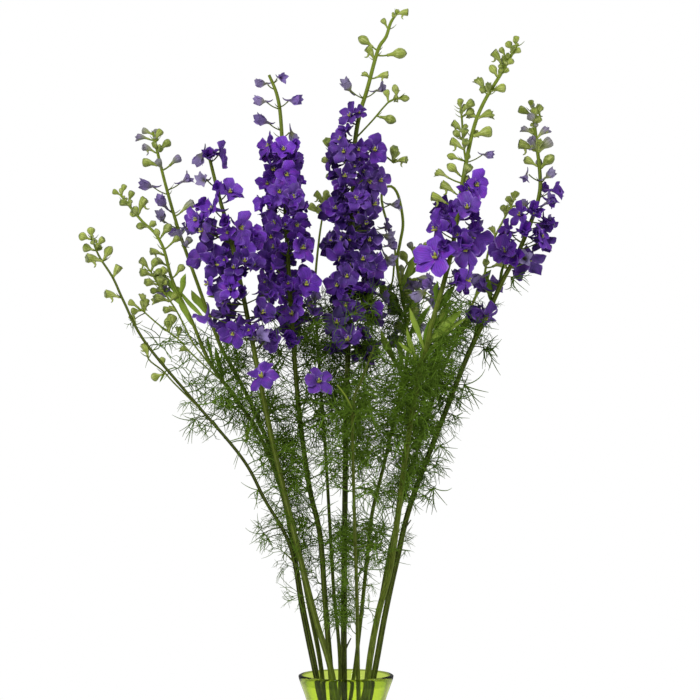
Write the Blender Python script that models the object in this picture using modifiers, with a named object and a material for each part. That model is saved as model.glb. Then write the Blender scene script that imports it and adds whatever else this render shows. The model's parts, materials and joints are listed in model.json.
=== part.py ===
"""Bouquet of larkspur spikes standing in a green glass vase.

The stems cross in the vase in one spiral. Each stem is one solid with its
thread leaves and its green buds, and each flower head is another solid, a
slim core round the stem that the florets stand out of.

Units are metres and +Z is up. The origin is the centre of the vase's foot.
"""
import math
import random

import bmesh
import bpy
import numpy as np
from mathutils import Matrix, Quaternion, Vector

# Driving dimensions
MM = 0.001
VASE_FLOOR = 0.012
VASE_SEGMENTS = 24
WATER_LEVEL = 0.150
HOLE_REACH = 0.002
GAP = 0.0003
SPIRAL_TURN = math.radians(100)
SPIRAL_SHRINK = 0.86
FLORET_RADIUS = 0.0145
SEPALS = 5
FLORET_SPIN = 0.7
SEPAL_LIFT = 0.0030
SEPAL_WAVE = 0.0011
WAVE_STEP = 2.4
NOTCH_SHARE = 0.66
NOTCH_LIFT = 0.0006
HEART_LIFT = 0.0008
BACK_RADIUS = 0.0024
BACK_DEPTH = 0.0017
SPUR_LENGTH = 0.013
SPUR_RADIUS = 0.0040
CORE_WALL = 0.0012
CORE_CAP = 0.004
CORE_MARGIN = 0.004
ROOT_DEPTH = 0.002
SPECK = 0.00001
ROOT_SHIFT = 0.0002
BUD_RADIUS = 0.0028
BUD_SHOULDER = 0.55
STALK_RADIUS = 0.0009
STALKED_FROM = 0.0095
BUD_SPIN = 0.6
LEAF_LENGTH = 0.034
THREAD_RADIUS = 0.0008
LEAF_SPACING = 0.044
GOLDEN_ANGLE = math.radians(137.5)
BACK_FROM = -12
LEAF_HUB = 0.0016
HUB_CORNERS = (100, 50, 17, -17, -50, -100)
LEAF_THICKNESS = 0.0010
LEAF_FAN = (-66, -34, 0, 34, 66)

# The layout is drawn in a square front view, 700 mm wide, seen from this far
VIEW_DISTANCE = 2700
VIEW_MIDDLE = 350
VIEW_ACROSS = 4
VIEW_HEIGHT = 545
DEPTH_SPREAD = 1.3

# Outer wall from the lip down to the foot, then the hollow from the floor up
VASE_OUTSIDE = (
    (46.4, 220.0), (47.2, 217.0), (39.6, 195.0), (37.4, 178.0),
    (48.5, 130.0), (51.0, 95.0), (47.5, 45.0), (41.0, 6.0), (38.5, 0.0),
)
VASE_INSIDE = (
    (36.0, 12.0), (43.6, 45.0), (47.4, 95.0), (45.0, 130.0),
    (34.0, 178.0), (36.2, 195.0), (44.2, 220.0),
)

# Stems from the tip down to the vase's lip: across, down and depth in mm, then radii
STEMS = {
    "01": (0.9, 2.0, (
        (91, 236, -38), (99, 256, -36), (113, 278, -35), (124, 302, -34), (145, 342, -31),
        (193, 400, -25), (242, 458, -20), (265, 500, -17), (290, 546, -14), (302, 612, -11),
        (315, 675, -8))),
    "02": (1.3, 2.2, (
        (120, 194, 30), (141, 220, 29), (153, 231, 29), (160, 241, 28), (165, 253, 27),
        (173, 282, 26), (191, 319, 23), (206, 355, 20), (216, 372, 19), (240, 404, 17),
        (262, 440, 15), (281, 490, 12), (292, 540, 9), (304, 610, 6), (317, 675, 3))),
    "03": (1.5, 2.4, (
        (153, 132, 58), (163, 175, 56), (178, 228, 52), (198, 285, 47), (220, 345, 39),
        (232, 367, 36), (254, 410, 31), (278, 470, 25), (294, 530, 20), (308, 600, 16),
        (322, 675, 13))),
    "04": (1.6, 3.1, (
        (210, 160, -50), (220, 200, -50), (228, 228, -48), (241, 285, -44), (253, 345, -38),
        (270, 430, -29), (284, 490, -24), (299, 553, -20), (316, 620, -17), (332, 675, -15))),
    "05": (1.5, 2.9, (
        (269, 75, 5), (277, 95, 5), (281, 122, 5), (284, 185, 5), (288, 260, 5),
        (292, 325, 5), (299, 410, 5), (309, 485, 4), (320, 535, 3), (325, 600, 2),
        (331, 675, 1))),
    "06": (1.3, 3.1, (
        (398, 12, 32), (391, 22, 32), (386, 37, 32), (378, 50, 32), (367, 90, 32),
        (359, 117, 32), (354, 155, 31), (352, 230, 29), (349, 320, 26), (346, 420, 19),
        (345, 500, 12), (344, 600, 4), (344, 675, -2))),
    "07": (1.5, 3.2, (
        (517, 45, -20), (502, 72, -20), (484, 102, -22), (474, 127, -24), (466, 163, -26),
        (459, 205, -28), (453, 245, -30), (444, 282, -31), (432, 323, -31), (426, 350, -30),
        (420, 370, -29), (411, 420, -26), (403, 475, -24), (398, 515, -22), (390, 570, -18),
        (378, 615, -15), (368, 675, -12))),
    "08": (1.6, 3.0, (
        (533, 110, 25), (536, 138, 25), (540, 175, 25), (539, 196, 25), (531, 222, 25),
        (517, 255, 24), (505, 276, 23), (491, 306, 22), (468, 355, 20), (450, 400, 18),
        (412, 500, 14), (397, 560, 12), (385, 615, 10), (374, 675, 6))),
    "09": (0.9, 2.0, (
        (514, 200, 52), (505, 217, 51), (489, 250, 49), (484, 277, 48), (475, 298, 46),
        (459, 334, 43), (441, 374, 40), (430, 410, 38), (404, 495, 31), (391, 545, 28),
        (379, 610, 24), (368, 675, 21))),
    "10": (0.9, 2.0, (
        (386, 295, 62), (392, 283, 61), (394, 266, 60), (395, 250, 60), (389, 228, 62),
        (383, 208, 65), (382, 193, 69), (390, 186, 72), (398, 195, 74), (403, 222, 75),
        (400, 243, 75), (397, 262, 75), (401, 290, 74), (406, 320, 71), (407, 360, 64),
        (385, 460, 50), (372, 514, 43), (367, 560, 37), (354, 675, 24))),
    "11": (0.9, 1.9, (
        (325, 202, 78), (319, 240, 76), (315, 290, 71), (318, 350, 64), (326, 460, 48),
        (333, 580, 31), (340, 675, 23))),
    "12": (0.8, 2.1, (
        (375, 345, -60), (362, 380, -57), (353, 408, -54), (354, 500, -40), (357, 600, -26),
        (358, 675, -16))),
}

# Side shoots: the stem that carries them, then points from the tip down to inside that stem
SHOOTS = (
    ("01", 0.8, ((147, 355, -32), (150, 361, -32), (163, 371, -30), (173, 382, -29),
                 (187, 396, -27), (203, 412, -24))),
    ("02", 0.9, ((150, 270, 20), (159, 286, 21), (168, 298, 21), (176, 310, 21), (184, 325, 21),
                 (193, 343, 20), (206, 360, 20), (218, 376, 19))),
    ("02", 0.8, ((141, 309, 16), (152, 319, 16), (163, 328, 17), (178, 339, 17), (190, 352, 18),
                 (207, 368, 18), (223, 382, 18))),
    ("06", 0.9, ((398, 98, 26), (390, 101, 26), (383, 108, 27), (372, 121, 29), (356, 138, 31))),
    ("06", 0.9, ((394, 163, 46), (383, 156, 48), (374, 166, 44), (354, 190, 30))),
    ("06", 0.9, ((330, 150, 52), (336, 166, 50), (339, 185, 46), (352, 218, 29))),
    ("07", 1.1, ((460, 102, -20), (462, 120, -22), (463, 140, -24), (466, 163, -26))),
    ("10", 0.8, ((424, 250, 84), (414, 257, 82), (405, 268, 79), (400, 285, 74))),
    ("12", 0.8, ((337, 385, -60), (345, 395, -57), (353, 410, -54))),
)

# Green buds: stem, across, down, depth from the stem and length in mm
BUDS = (
    ("01", 92, 233, 1, 8), ("01", 84, 239, -3, 8), ("01", 88, 250, 2, 8), ("01", 101, 243, -2, 8),
    ("01", 95, 262, -3, 12), ("01", 108, 254, 3, 11), ("01", 116, 272, 2, 10),
    ("01", 112, 298, -2, 10), ("01", 145, 351, -2, 11), ("01", 162, 363, 3, 8),
    ("01", 157, 377, -3, 8), ("01", 133, 322, 3, 9),
    ("02", 117, 195, 0, 8), ("02", 124, 190, 2, 7), ("02", 131, 197, -2, 8),
    ("02", 125, 206, -3, 9), ("02", 144, 207, 2, 11), ("02", 135, 216, 3, 9),
    ("02", 143, 229, -3, 10), ("02", 167, 231, 4, 11), ("02", 175, 242, 5, 8),
    ("02", 156, 254, -3, 9), ("02", 160, 264, -5, 9), ("02", 181, 272, 5, 9),
    ("02", 177, 292, 7, 9), ("02", 163, 275, -9, 10),
    ("02", 144, 265, -10, 9), ("02", 155, 265, -12, 10), ("02", 146, 276, -12, 10),
    ("02", 151, 285, -13, 10), ("02", 162, 284, -10, 10), ("02", 156, 292, -8, 8),
    ("02", 161, 303, -9, 13), ("02", 169, 311, -9, 9), ("02", 171, 324, -8, 13),
    ("02", 178, 334, -6, 12), ("02", 186, 352, -4, 11),
    ("02", 133, 305, -9, 8), ("02", 141, 300, -9, 9), ("02", 147, 305, -10, 8),
    ("02", 136, 312, -8, 7),
    ("03", 142, 139, -2, 10), ("03", 147, 133, 2, 8), ("03", 159, 136, 0, 9),
    ("03", 165, 146, 2, 10), ("03", 148, 151, -2, 9), ("03", 150, 165, 2, 11),
    ("03", 176, 163, -2, 10), ("03", 188, 209, 2, 11), ("03", 188, 244, 2, 10),
    ("03", 199, 262, 4, 10),
    ("06", 402, 15, 0, 9), ("06", 384, 24, 0, 7), ("06", 365, 43, 0, 12),
    ("06", 369, 55, 0, 10), ("06", 397, 57, 0, 14), ("06", 382, 78, 3, 9),
    ("06", 396, 91, -5, 9), ("06", 403, 101, -6, 9), ("06", 386, 96, -8, 8),
    ("06", 387, 121, -6, 12), ("06", 395, 155, 14, 11), ("06", 401, 163, 15, 9),
    ("06", 328, 147, 20, 11), ("06", 327, 163, 20, 8), ("06", 331, 180, 18, 9),
    ("07", 517, 42, 0, 8), ("07", 509, 46, 2, 7), ("07", 516, 53, 0, 8), ("07", 502, 53, 3, 7),
    ("07", 496, 59, 0, 10), ("07", 509, 64, -2, 8), ("07", 494, 72, 2, 10),
    ("07", 504, 73, 2, 8), ("07", 479, 86, 0, 11), ("07", 498, 91, -2, 11),
    ("07", 461, 105, 0, 9), ("07", 469, 107, -3, 10), ("07", 486, 118, 0, 12),
    ("07", 456, 129, 2, 9), ("07", 483, 135, -2, 13), ("07", 469, 113, 3, 8),
    ("07", 456, 147, 2, 10), ("07", 457, 136, -4, 9), ("07", 441, 176, 0, 10),
    ("07", 452, 171, -4, 11), ("07", 447, 190, 2, 11), ("07", 438, 201, 0, 11),
    ("07", 453, 159, 3, 9),
    ("08", 532, 105, 0, 7), ("08", 525, 113, 0, 10), ("08", 539, 114, 1, 10),
    ("08", 531, 119, -4, 8), ("08", 526, 132, 0, 9), ("08", 544, 134, 0, 11),
    ("08", 526, 149, 0, 12), ("08", 546, 148, 0, 13), ("08", 530, 164, -2, 10),
    ("08", 549, 164, 0, 13), ("08", 537, 122, 3, 8),
    ("09", 515, 197, 0, 9), ("09", 509, 202, 3, 8), ("09", 503, 211, -2, 8),
    ("09", 519, 207, 2, 8), ("09", 493, 232, 0, 9), ("09", 500, 267, 8, 12),
    ("11", 318, 199, 0, 9), ("11", 325, 196, 2, 9), ("11", 332, 202, -2, 9),
    ("11", 314, 211, 2, 10), ("11", 332, 214, 2, 10), ("11", 322, 210, -5, 9),
    ("10", 426, 248, 12, 8), ("10", 411, 248, 10, 8), ("10", 404, 259, 9, 12),
    ("10", 414, 265, 6, 11), ("10", 403, 272, 4, 12), ("10", 420, 281, 6, 10),
    ("10", 418, 298, 4, 13), ("10", 396, 314, -3, 13), ("10", 414, 318, 5, 13),
    ("10", 400, 330, -3, 11), ("10", 413, 333, 6, 10),
)

# Open florets: across, down, depth from the stem in mm and size
FLORETS = {
    "03": ((152, 187, -3, 0.7), (183, 182, -2, 0.65), (165, 207, -7, 0.7), (163, 221, -5, 0.7),
           (181, 241, -3, 0.75)),
    "04": ((203, 154, 8, 0.75), (219, 155, -6, 0.85), (206, 181, -4, 0.7), (229, 192, -10, 0.85),
           (214, 210, -20, 1.05), (197, 219, -8, 0.85), (203, 230, -17, 0.9), (239, 227, -18, 1.0),
           (216, 264, -22, 1.1), (200, 258, -10, 0.85), (209, 283, -16, 0.95), (226, 291, -20, 0.9),
           (252, 266, -10, 0.9), (243, 249, -16, 0.8), (208, 316, -4, 0.95), (261, 313, -6, 0.95),
           (233, 332, -12, 0.9), (256, 339, -10, 0.75), (262, 377, -24, 1.05)),
    "05": ((266, 84, -2, 0.55), (279, 78, 2, 0.5), (265, 102, -2, 0.6), (290, 101, 0, 0.65),
           (267, 123, -4, 0.7), (291, 132, 4, 0.65), (270, 146, -10, 0.85), (283, 150, -18, 0.85),
           (292, 158, -6, 0.85), (272, 167, -18, 0.9), (286, 173, -20, 0.9), (294, 178, -8, 0.85),
           (268, 184, -8, 0.8), (279, 191, -20, 0.85), (292, 197, -17, 0.9), (266, 202, -8, 0.8),
           (297, 207, -6, 0.8), (272, 212, -17, 0.85), (275, 222, -20, 0.85), (296, 223, -13, 0.9),
           (271, 236, -16, 0.85), (276, 247, -20, 0.85), (301, 248, -12, 1.0), (272, 258, -16, 0.85),
           (275, 269, -20, 0.85), (268, 281, -12, 0.9), (280, 293, -18, 0.9), (305, 284, -12, 1.05),
           (293, 315, -16, 1.0), (285, 337, -10, 0.8), (318, 382, -18, 1.0)),
    "06": ((350, 91, -2, 0.7), (377, 91, -3, 0.6), (351, 116, -8, 0.85), (342, 140, -8, 0.9),
           (344, 151, -18, 0.9), (373, 150, -12, 1.0), (341, 160, -12, 0.8), (343, 176, -18, 0.9),
           (368, 180, -19, 0.9), (379, 180, -6, 0.9), (342, 193, -12, 0.8), (357, 200, -21, 0.9),
           (373, 204, -12, 0.9), (336, 210, -6, 0.95), (345, 218, -20, 0.9), (366, 220, -20, 0.9),
           (334, 242, -6, 1.0), (344, 238, -22, 0.9), (369, 238, -15, 0.95), (341, 257, -14, 0.95),
           (362, 259, -21, 0.95), (372, 266, -12, 1.0), (347, 275, -19, 0.9), (338, 284, -10, 0.9),
           (355, 291, -17, 0.95), (391, 205, 13, 0.65), (384, 236, 10, 0.7), (386, 257, 8, 0.75),
           (371, 306, -8, 0.8), (337, 322, -10, 1.0), (348, 341, -16, 1.1), (366, 357, -4, 0.8)),
    "07": ((484, 155, 0, 0.5), (475, 184, -8, 0.95), (467, 208, -18, 1.0), (472, 226, 6, 0.7),
           (437, 229, -12, 1.1), (467, 248, -17, 1.1), (436, 257, -20, 1.3), (466, 279, -8, 1.0),
           (424, 292, 4, 0.7)),
    "08": ((527, 174, -4, 0.5), (546, 178, -5, 0.6), (552, 191, 0, 0.8), (546, 204, -6, 0.7),
           (521, 215, -12, 0.85), (509, 233, -12, 0.85), (505, 252, -15, 1.1), (540, 238, -6, 0.95),
           (525, 259, -8, 0.75), (483, 277, -4, 0.7), (485, 316, -10, 1.0)),
}
# The part of each stem, in mm down, that its flower core covers
CORES = {"03": (174, 235), "04": (155, 392), "05": (82, 400), "06": (88, 368),
         "07": (158, 312), "08": (174, 330)}

# Thread leaves grow on this part of each stem, in mm down
LEAFY = {"01": (500, 560), "02": (380, 560), "03": (345, 560), "04": (400, 600),
         "05": (405, 455), "06": (375, 450), "07": (320, 500), "08": (335, 480),
         "09": (300, 560), "10": (310, 560), "11": (290, 445), "12": (395, 600)}


def place(across, down, depth):
    """Return the point that a front view shows at across and down, at the given depth."""
    reach = 1 + depth / VIEW_DISTANCE
    x = VIEW_ACROSS + (across - VIEW_MIDDLE) * reach
    z = VIEW_HEIGHT + (VIEW_MIDDLE - down) * reach
    return Vector((x, depth, z)) * MM


def spread(path):
    """Points of a path, with the bouquet's depth drawn out."""
    return [place(across, down, depth * DEPTH_SPREAD) for across, down, depth in path]


def stem_line(name):
    """Points and radii of a stem from its tip to its foot on the vase's floor."""
    tip_radius, foot_radius, path = STEMS[name]
    points = spread(path)
    radii = []
    for index in range(len(points)):
        share = index / (len(points) - 1)
        radii.append((tip_radius + (foot_radius - tip_radius) * share ** 0.8) * MM)
    lip = points[-1].copy()
    turn = Matrix.Rotation(SPIRAL_TURN, 2)
    foot = turn @ Vector((lip.x, lip.y)) * SPIRAL_SHRINK
    top = Vector((foot.x, foot.y, VASE_FLOOR + 0.010))
    points.append(lip.lerp(top, 0.5))
    points.append(top)
    points.append(Vector((foot.x, foot.y, VASE_FLOOR + GAP)))
    radii.extend([foot_radius * MM] * 3)
    return points, radii


def height_on(line, down_z):
    """Point and radius where a stem's line passes a height."""
    points, radii = line
    for index in range(len(points) - 1):
        upper, lower = points[index], points[index + 1]
        if upper.z >= down_z > lower.z:
            share = (upper.z - down_z) / (upper.z - lower.z)
            radius = radii[index] + (radii[index + 1] - radii[index]) * share
            return upper.lerp(lower, share), radius
    return (points[0].copy(), radii[0]) if down_z > points[0].z else (points[-1].copy(), radii[-1])


def nearest_on(lines, spot):
    """Point on any of the lines that is nearest to a spot a little below the given one."""
    best = None
    for points, radii in lines:
        for index in range(len(points) - 1):
            start, end = points[index], points[index + 1]
            along = end - start
            least = ROOT_DEPTH / along.length if index == 0 else 0.0
            share = max(least, min(1.0, (spot - start).dot(along) / along.length_squared))
            foot = start + along * share
            gap = (foot - spot).length
            if best is None or gap < best[0]:
                best = (gap, foot)
    return best[1]


class Room:
    """Keeps a list of the slim shapes already placed, to keep new ones clear of them."""

    def __init__(self):
        self.starts = []
        self.ends = []
        self.radii = []
        self.owners = []

    def add(self, owner, start, end, radius):
        self.starts.append(tuple(start))
        self.ends.append(tuple(end))
        self.radii.append(radius)
        self.owners.append(owner)

    def freeze(self):
        self.starts_array = np.array(self.starts)
        self.along_array = np.array(self.ends) - self.starts_array
        self.length_array = np.maximum((self.along_array ** 2).sum(1), 1e-12)
        self.radii_array = np.array(self.radii)
        self.owner_array = np.array(self.owners)

    def clear(self, owner, start, end, radius, gap):
        others = self.owner_array != owner
        base = self.starts_array[others]
        along = self.along_array[others]
        length = self.length_array[others]
        limit = self.radii_array[others] + radius + gap
        for step in range(9):
            spot = np.array(start.lerp(end, step / 8))
            share = np.clip(((spot - base) * along).sum(1) / length, 0, 1)
            apart = np.linalg.norm(base + along * share[:, None] - spot, axis=1)
            if (apart < limit).any():
                return False
        return True


def floret_frames(name, line):
    """Centre, facing direction, size and foot on the stem of each floret of a head."""
    frames = []
    for across, down, out, size in FLORETS[name]:
        level = place(across, down, 0).z
        axis, _ = height_on(line, level)
        depth = axis.y / MM
        centre = place(across, down, depth + out)
        frames.append((centre, axis, size))
        if out <= BACK_FROM and across % 2:
            back = place(2 * axis_across(axis) - across, down + 8, depth - out * 0.9)
            frames.append((back, axis, size))
    result = []
    for centre, axis, size in frames:
        away = centre - axis
        facing = Vector((away.x * 0.75, away.y, away.z * 0.4 + 0.0015)).normalized()
        foot = height_on(line, centre.z - 0.3 * away.length - 0.003)[0]
        result.append((centre, facing, size, foot))
    return result


def axis_across(point):
    """Where the front view shows a point, in mm across."""
    reach = 1 + point.y / MM / VIEW_DISTANCE
    return VIEW_MIDDLE + (point.x / MM - VIEW_ACROSS) / reach


def bud_frames(name, lines):
    """Foot on the stem, base and tip of each green bud of a stem."""
    main = lines[0]
    result = []
    for stem, across, down, out, length in BUDS:
        if stem != name:
            continue
        axis, _ = height_on(main, place(across, down, 0).z)
        centre = place(across, down, axis.y / MM + out)
        foot = nearest_on(lines, centre - Vector((0, 0, 0.004)))
        away = centre - foot
        if away.length < 0.003:
            away = Vector((0, 0, 0.003))
        foot = foot + Vector((math.sin(across), math.cos(down), 0)) * ROOT_SHIFT
        heading = (away.normalized() + Vector((0, 0, 0.35))).normalized()
        half = heading * (length * MM / 2)
        result.append((foot, centre - half, centre + half))
    return result


def leaf_frame(start, heading, across, length):
    """Start, hub and thread tips of one fan-shaped leaf."""
    hub = start + heading * (length * 0.36)
    normal = heading.cross(across)
    tips = []
    for index, angle in enumerate(LEAF_FAN):
        turn = math.radians(angle)
        way = heading * math.cos(turn) + across * math.sin(turn)
        way += normal * (0.22 if index % 2 else -0.12)
        tips.append(hub + way.normalized() * (length * (0.66 - 0.0015 * abs(angle))))
    return start, hub, tips, heading, across


def grow_leaves(name, line, room, rng):
    """Thread leaves up a stem, each turned until it is clear of the other stems."""
    top, bottom = LEAFY[name]
    high = place(350, top, 0).z
    low = place(350, bottom, 0).z
    count = int((high - low) / LEAF_SPACING) + 1
    leaves = []
    for index in range(count):
        level = high - (index + rng.random() * 0.5) * LEAF_SPACING
        start, radius = height_on(line, level)
        upper = height_on(line, level + 0.01)[0]
        trunk = (upper - start).normalized()
        length = LEAF_LENGTH * rng.uniform(0.8, 1.15)
        first = index * GOLDEN_ANGLE + rng.random()
        for attempt in range(24):
            angle = first + attempt * math.radians(31)
            out = Vector((math.cos(angle), math.sin(angle), 0))
            out = (out - trunk * out.dot(trunk)).normalized()
            heading = (out + trunk * 0.75).normalized()
            across = heading.cross(trunk).normalized()
            leaf = leaf_frame(start, heading, across, length)
            threads = [(start, leaf[1])] + [(leaf[1], tip) for tip in leaf[2]]
            if all(room.clear(name, a, b, THREAD_RADIUS, 0.0008) for a, b in threads):
                for a, b in threads:
                    room.add(name, a, b, THREAD_RADIUS)
                room.freeze()
                leaves.append(leaf)
                break
    return leaves


def layout():
    """Everything's place: lines of the stems and shoots, florets, buds and leaves."""
    room = Room()
    plan = {}
    for name in STEMS:
        line = stem_line(name)
        lines = [line]
        for stem, radius, path in SHOOTS:
            if stem == name:
                lines.append((spread(path), [radius * MM] * len(path)))
        buds = bud_frames(name, lines)
        florets = floret_frames(name, line) if name in FLORETS else []
        plan[name] = {"lines": lines, "buds": buds, "florets": florets}
        for points, radii in lines:
            for index in range(len(points) - 1):
                room.add(name, points[index], points[index + 1], radii[index + 1])
        for foot, base, tip in buds:
            room.add(name, foot, base, THREAD_RADIUS)
            room.add(name, base, tip, 0.003)
        for centre, facing, size, foot in florets:
            head = "head" + name
            room.add(head, foot, centre, 0.001)
            reach = FLORET_RADIUS * size
            across = facing.orthogonal().normalized()
            for turn in range(4):
                tip = Quaternion(facing, turn * math.pi / 4) @ across * reach * 0.8
                room.add(head, centre - tip, centre + tip, 0.0045)
    room.freeze()
    rng = random.Random(11)
    for name in STEMS:
        plan[name]["leaves"] = grow_leaves(name, plan[name]["lines"][0], room, rng)
    return plan


def aim(way):
    """Rotation that turns +Z onto a direction."""
    return way.to_track_quat("Z", "Y").to_matrix().to_4x4()


def bud_piece(name, foot, base, tip, spin):
    """A bud with its stalk, which starts as a point inside the stem."""
    axis = tip - base
    turn = aim(axis)
    sections = [(BUD_SHOULDER, BUD_RADIUS)]
    if axis.length > STALKED_FROM:
        sections.insert(0, (0.0, STALK_RADIUS))
    bm = bmesh.new()
    rings = []
    for share, radius in sections:
        ring = []
        for index in range(4):
            offset = turn @ polar(index * math.pi / 2 + spin, radius, 0)
            ring.append(bm.verts.new(base + axis * share + offset))
        rings.append(ring)
    root = bm.verts.new(foot)
    point = bm.verts.new(tip)
    for index in range(4):
        after = (index + 1) % 4
        bm.faces.new((root, rings[0][after], rings[0][index]))
        for lower, upper in zip(rings, rings[1:]):
            bm.faces.new((lower[index], lower[after], upper[after]))
            bm.faces.new((lower[index], upper[after], upper[index]))
        bm.faces.new((rings[-1][index], rings[-1][after], point))
    return finish_piece(name, bm)


def leaf_piece(name, leaf):
    """A leaf cut to its rib: a flat stalk and a fan of pointed threads."""
    start, hub, tips, heading, across = leaf
    normal = heading.cross(across).normalized() * (LEAF_THICKNESS / 2)
    half = across * THREAD_RADIUS
    outline = [start - half, start + half]
    for angle in HUB_CORNERS:
        turn = math.radians(angle)
        outline.append(hub + (heading * math.cos(turn) + across * math.sin(turn)) * LEAF_HUB)
    bm = bmesh.new()
    front = [bm.verts.new(point + normal) for point in outline]
    back = [bm.verts.new(point - normal) for point in outline]
    points = [bm.verts.new(tip) for tip in tips[::-1]]
    for ring, flip in ((front, False), (back, True)):
        faces = [(ring[0], ring[1], ring[2]), (ring[0], ring[2], ring[7])]
        faces += [(ring[7], ring[2], ring[3]), (ring[7], ring[3], ring[4])]
        faces += [(ring[7], ring[4], ring[5]), (ring[7], ring[5], ring[6])]
        faces += [(ring[2 + i], points[i], ring[3 + i]) for i in range(5)]
        for face in faces:
            bm.faces.new(face[::-1] if flip else face)
    for a, b in ((0, 1), (1, 2), (7, 0)):
        bm.faces.new((front[a], back[a], back[b]))
        bm.faces.new((front[a], back[b], front[b]))
    for index in range(5):
        bm.faces.new((front[2 + index], back[2 + index], points[index]))
        bm.faces.new((front[3 + index], points[index], back[3 + index]))
    return finish_piece(name, bm)


def floret_piece(name, centre, facing, size, foot, spin):
    """A cup of five pointed sepals with its spur and its stalk, which ends inside the stem."""
    bm = bmesh.new()
    turn = aim(facing)
    up = turn.inverted() @ Vector((0, 0, 1))
    top = math.atan2(up.y, up.x)
    rim = []
    back = []
    for index in range(SEPALS):
        angle = top + index * math.tau / SEPALS
        wave = SEPAL_WAVE * math.sin(index * WAVE_STEP + spin)
        reach = FLORET_RADIUS * size
        rim.append(polar(angle, reach, SEPAL_LIFT * size + wave))
        rim.append(polar(angle + math.pi / SEPALS, reach * NOTCH_SHARE, NOTCH_LIFT))
        back.append(polar(angle, BACK_RADIUS * size, -BACK_DEPTH))
    back[0] = polar(top, SPUR_RADIUS * size, -SPUR_LENGTH * size)
    place_on = Matrix.Translation(centre) @ turn
    rim = [bm.verts.new(place_on @ spot) for spot in rim]
    back = [bm.verts.new(place_on @ spot) for spot in back]
    heart = bm.verts.new(place_on @ Vector((0, 0, HEART_LIFT)))
    root = bm.verts.new(foot)
    for index in range(SEPALS):
        after = (index + 1) % SEPALS
        tip, notch, next_tip = rim[2 * index], rim[2 * index + 1], rim[2 * after]
        bm.faces.new((heart, tip, notch))
        bm.faces.new((heart, notch, next_tip))
        bm.faces.new((back[index], notch, tip))
        bm.faces.new((back[index], back[after], notch))
        bm.faces.new((back[after], next_tip, notch))
        bm.faces.new((root, back[after], back[index]))
    return finish_piece(name, bm)


def polar(angle, radius, height):
    return Vector((math.cos(angle) * radius, math.sin(angle) * radius, height))


def finish_piece(name, bm):
    bmesh.ops.recalc_face_normals(bm, faces=bm.faces)
    mesh = bpy.data.meshes.new(name)
    bm.to_mesh(mesh)
    bm.free()
    return bpy.data.objects.new(name, mesh)


def tube_piece(name, points, radii, extra, resolution):
    """A tube along a line, as a mesh with closed ends."""
    curve = bpy.data.curves.new(name, "CURVE")
    curve.dimensions = "3D"
    curve.bevel_depth = 1.0
    curve.bevel_resolution = resolution
    curve.render_resolution_u = 0
    curve.use_fill_caps = True
    curve.twist_mode = "MINIMUM"
    spline = curve.splines.new("POLY")
    spline.points.add(len(points) - 1)
    for index, point in enumerate(points):
        spline.points[index].co = (*point, 1.0)
        spline.points[index].radius = radii[index] + extra
    holder = bpy.data.objects.new(name + "_curve", curve)
    bpy.context.scene.collection.objects.link(holder)
    bpy.context.view_layer.update()
    graph = bpy.context.evaluated_depsgraph_get()
    mesh = bpy.data.meshes.new_from_object(holder.evaluated_get(graph))
    bpy.data.objects.remove(holder)
    bpy.data.curves.remove(curve)
    bm = bmesh.new()
    bm.from_mesh(mesh)
    bpy.data.meshes.remove(mesh)
    bmesh.ops.remove_doubles(bm, verts=bm.verts, dist=1e-6)
    return finish_piece(name, bm)


def join(name, base, pieces, operation, solver, home):
    """Apply one Boolean of all the pieces on the base, and remove the pieces."""
    scene = bpy.context.scene.collection
    tools = bpy.data.collections.new(name + "_pieces")
    scene.children.link(tools)
    for piece in pieces:
        tools.objects.link(piece)
    if base.name not in home.objects:
        home.objects.link(base)
    modifier = base.modifiers.new("Join", "BOOLEAN")
    modifier.operation = operation
    modifier.operand_type = "COLLECTION"
    modifier.collection = tools
    modifier.solver = solver
    bpy.context.view_layer.update()
    graph = bpy.context.evaluated_depsgraph_get()
    mesh = bpy.data.meshes.new_from_object(base.evaluated_get(graph))
    base.modifiers.clear()
    bm = bmesh.new()
    bm.from_mesh(mesh)
    bmesh.ops.triangulate(bm, faces=bm.faces)
    bmesh.ops.dissolve_degenerate(bm, edges=bm.edges, dist=SPECK)
    bmesh.ops.triangulate(bm, faces=bm.faces)
    bm.to_mesh(mesh)
    bm.free()
    base.data = mesh
    for piece in list(tools.objects):
        bpy.data.objects.remove(piece)
    bpy.data.collections.remove(tools)
    return base


def material(name, colour, roughness, alpha=1.0, transmission=0.0):
    made = bpy.data.materials.new(name)
    made.use_nodes = True
    shader = made.node_tree.nodes["Principled BSDF"]
    shader.inputs["Base Color"].default_value = (*colour, 1.0)
    shader.inputs["Roughness"].default_value = roughness
    shader.inputs["Metallic"].default_value = 0.0
    shader.inputs["Alpha"].default_value = alpha
    shader.inputs["Transmission Weight"].default_value = transmission
    return made


def name_as(piece, name, look):
    piece.name = name
    piece.data.name = name
    piece.data.materials.clear()
    piece.data.materials.append(look)


def turned(name, profile, home, look):
    """A closed profile turned about the vertical axis."""
    bm = bmesh.new()
    verts = [bm.verts.new((radius * MM, 0, height * MM)) for radius, height in profile]
    for upper, lower in zip(verts, verts[1:]):
        bm.edges.new((upper, lower))
    mesh = bpy.data.meshes.new(name)
    bm.to_mesh(mesh)
    bm.free()
    piece = bpy.data.objects.new(name, mesh)
    home.objects.link(piece)
    screw = piece.modifiers.new("Turn", "SCREW")
    screw.steps = VASE_SEGMENTS
    screw.render_steps = VASE_SEGMENTS
    screw.use_merge_vertices = True
    screw.merge_threshold = 0.00001
    screw.use_smooth_shade = True
    mesh.materials.append(look)
    return piece


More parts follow.
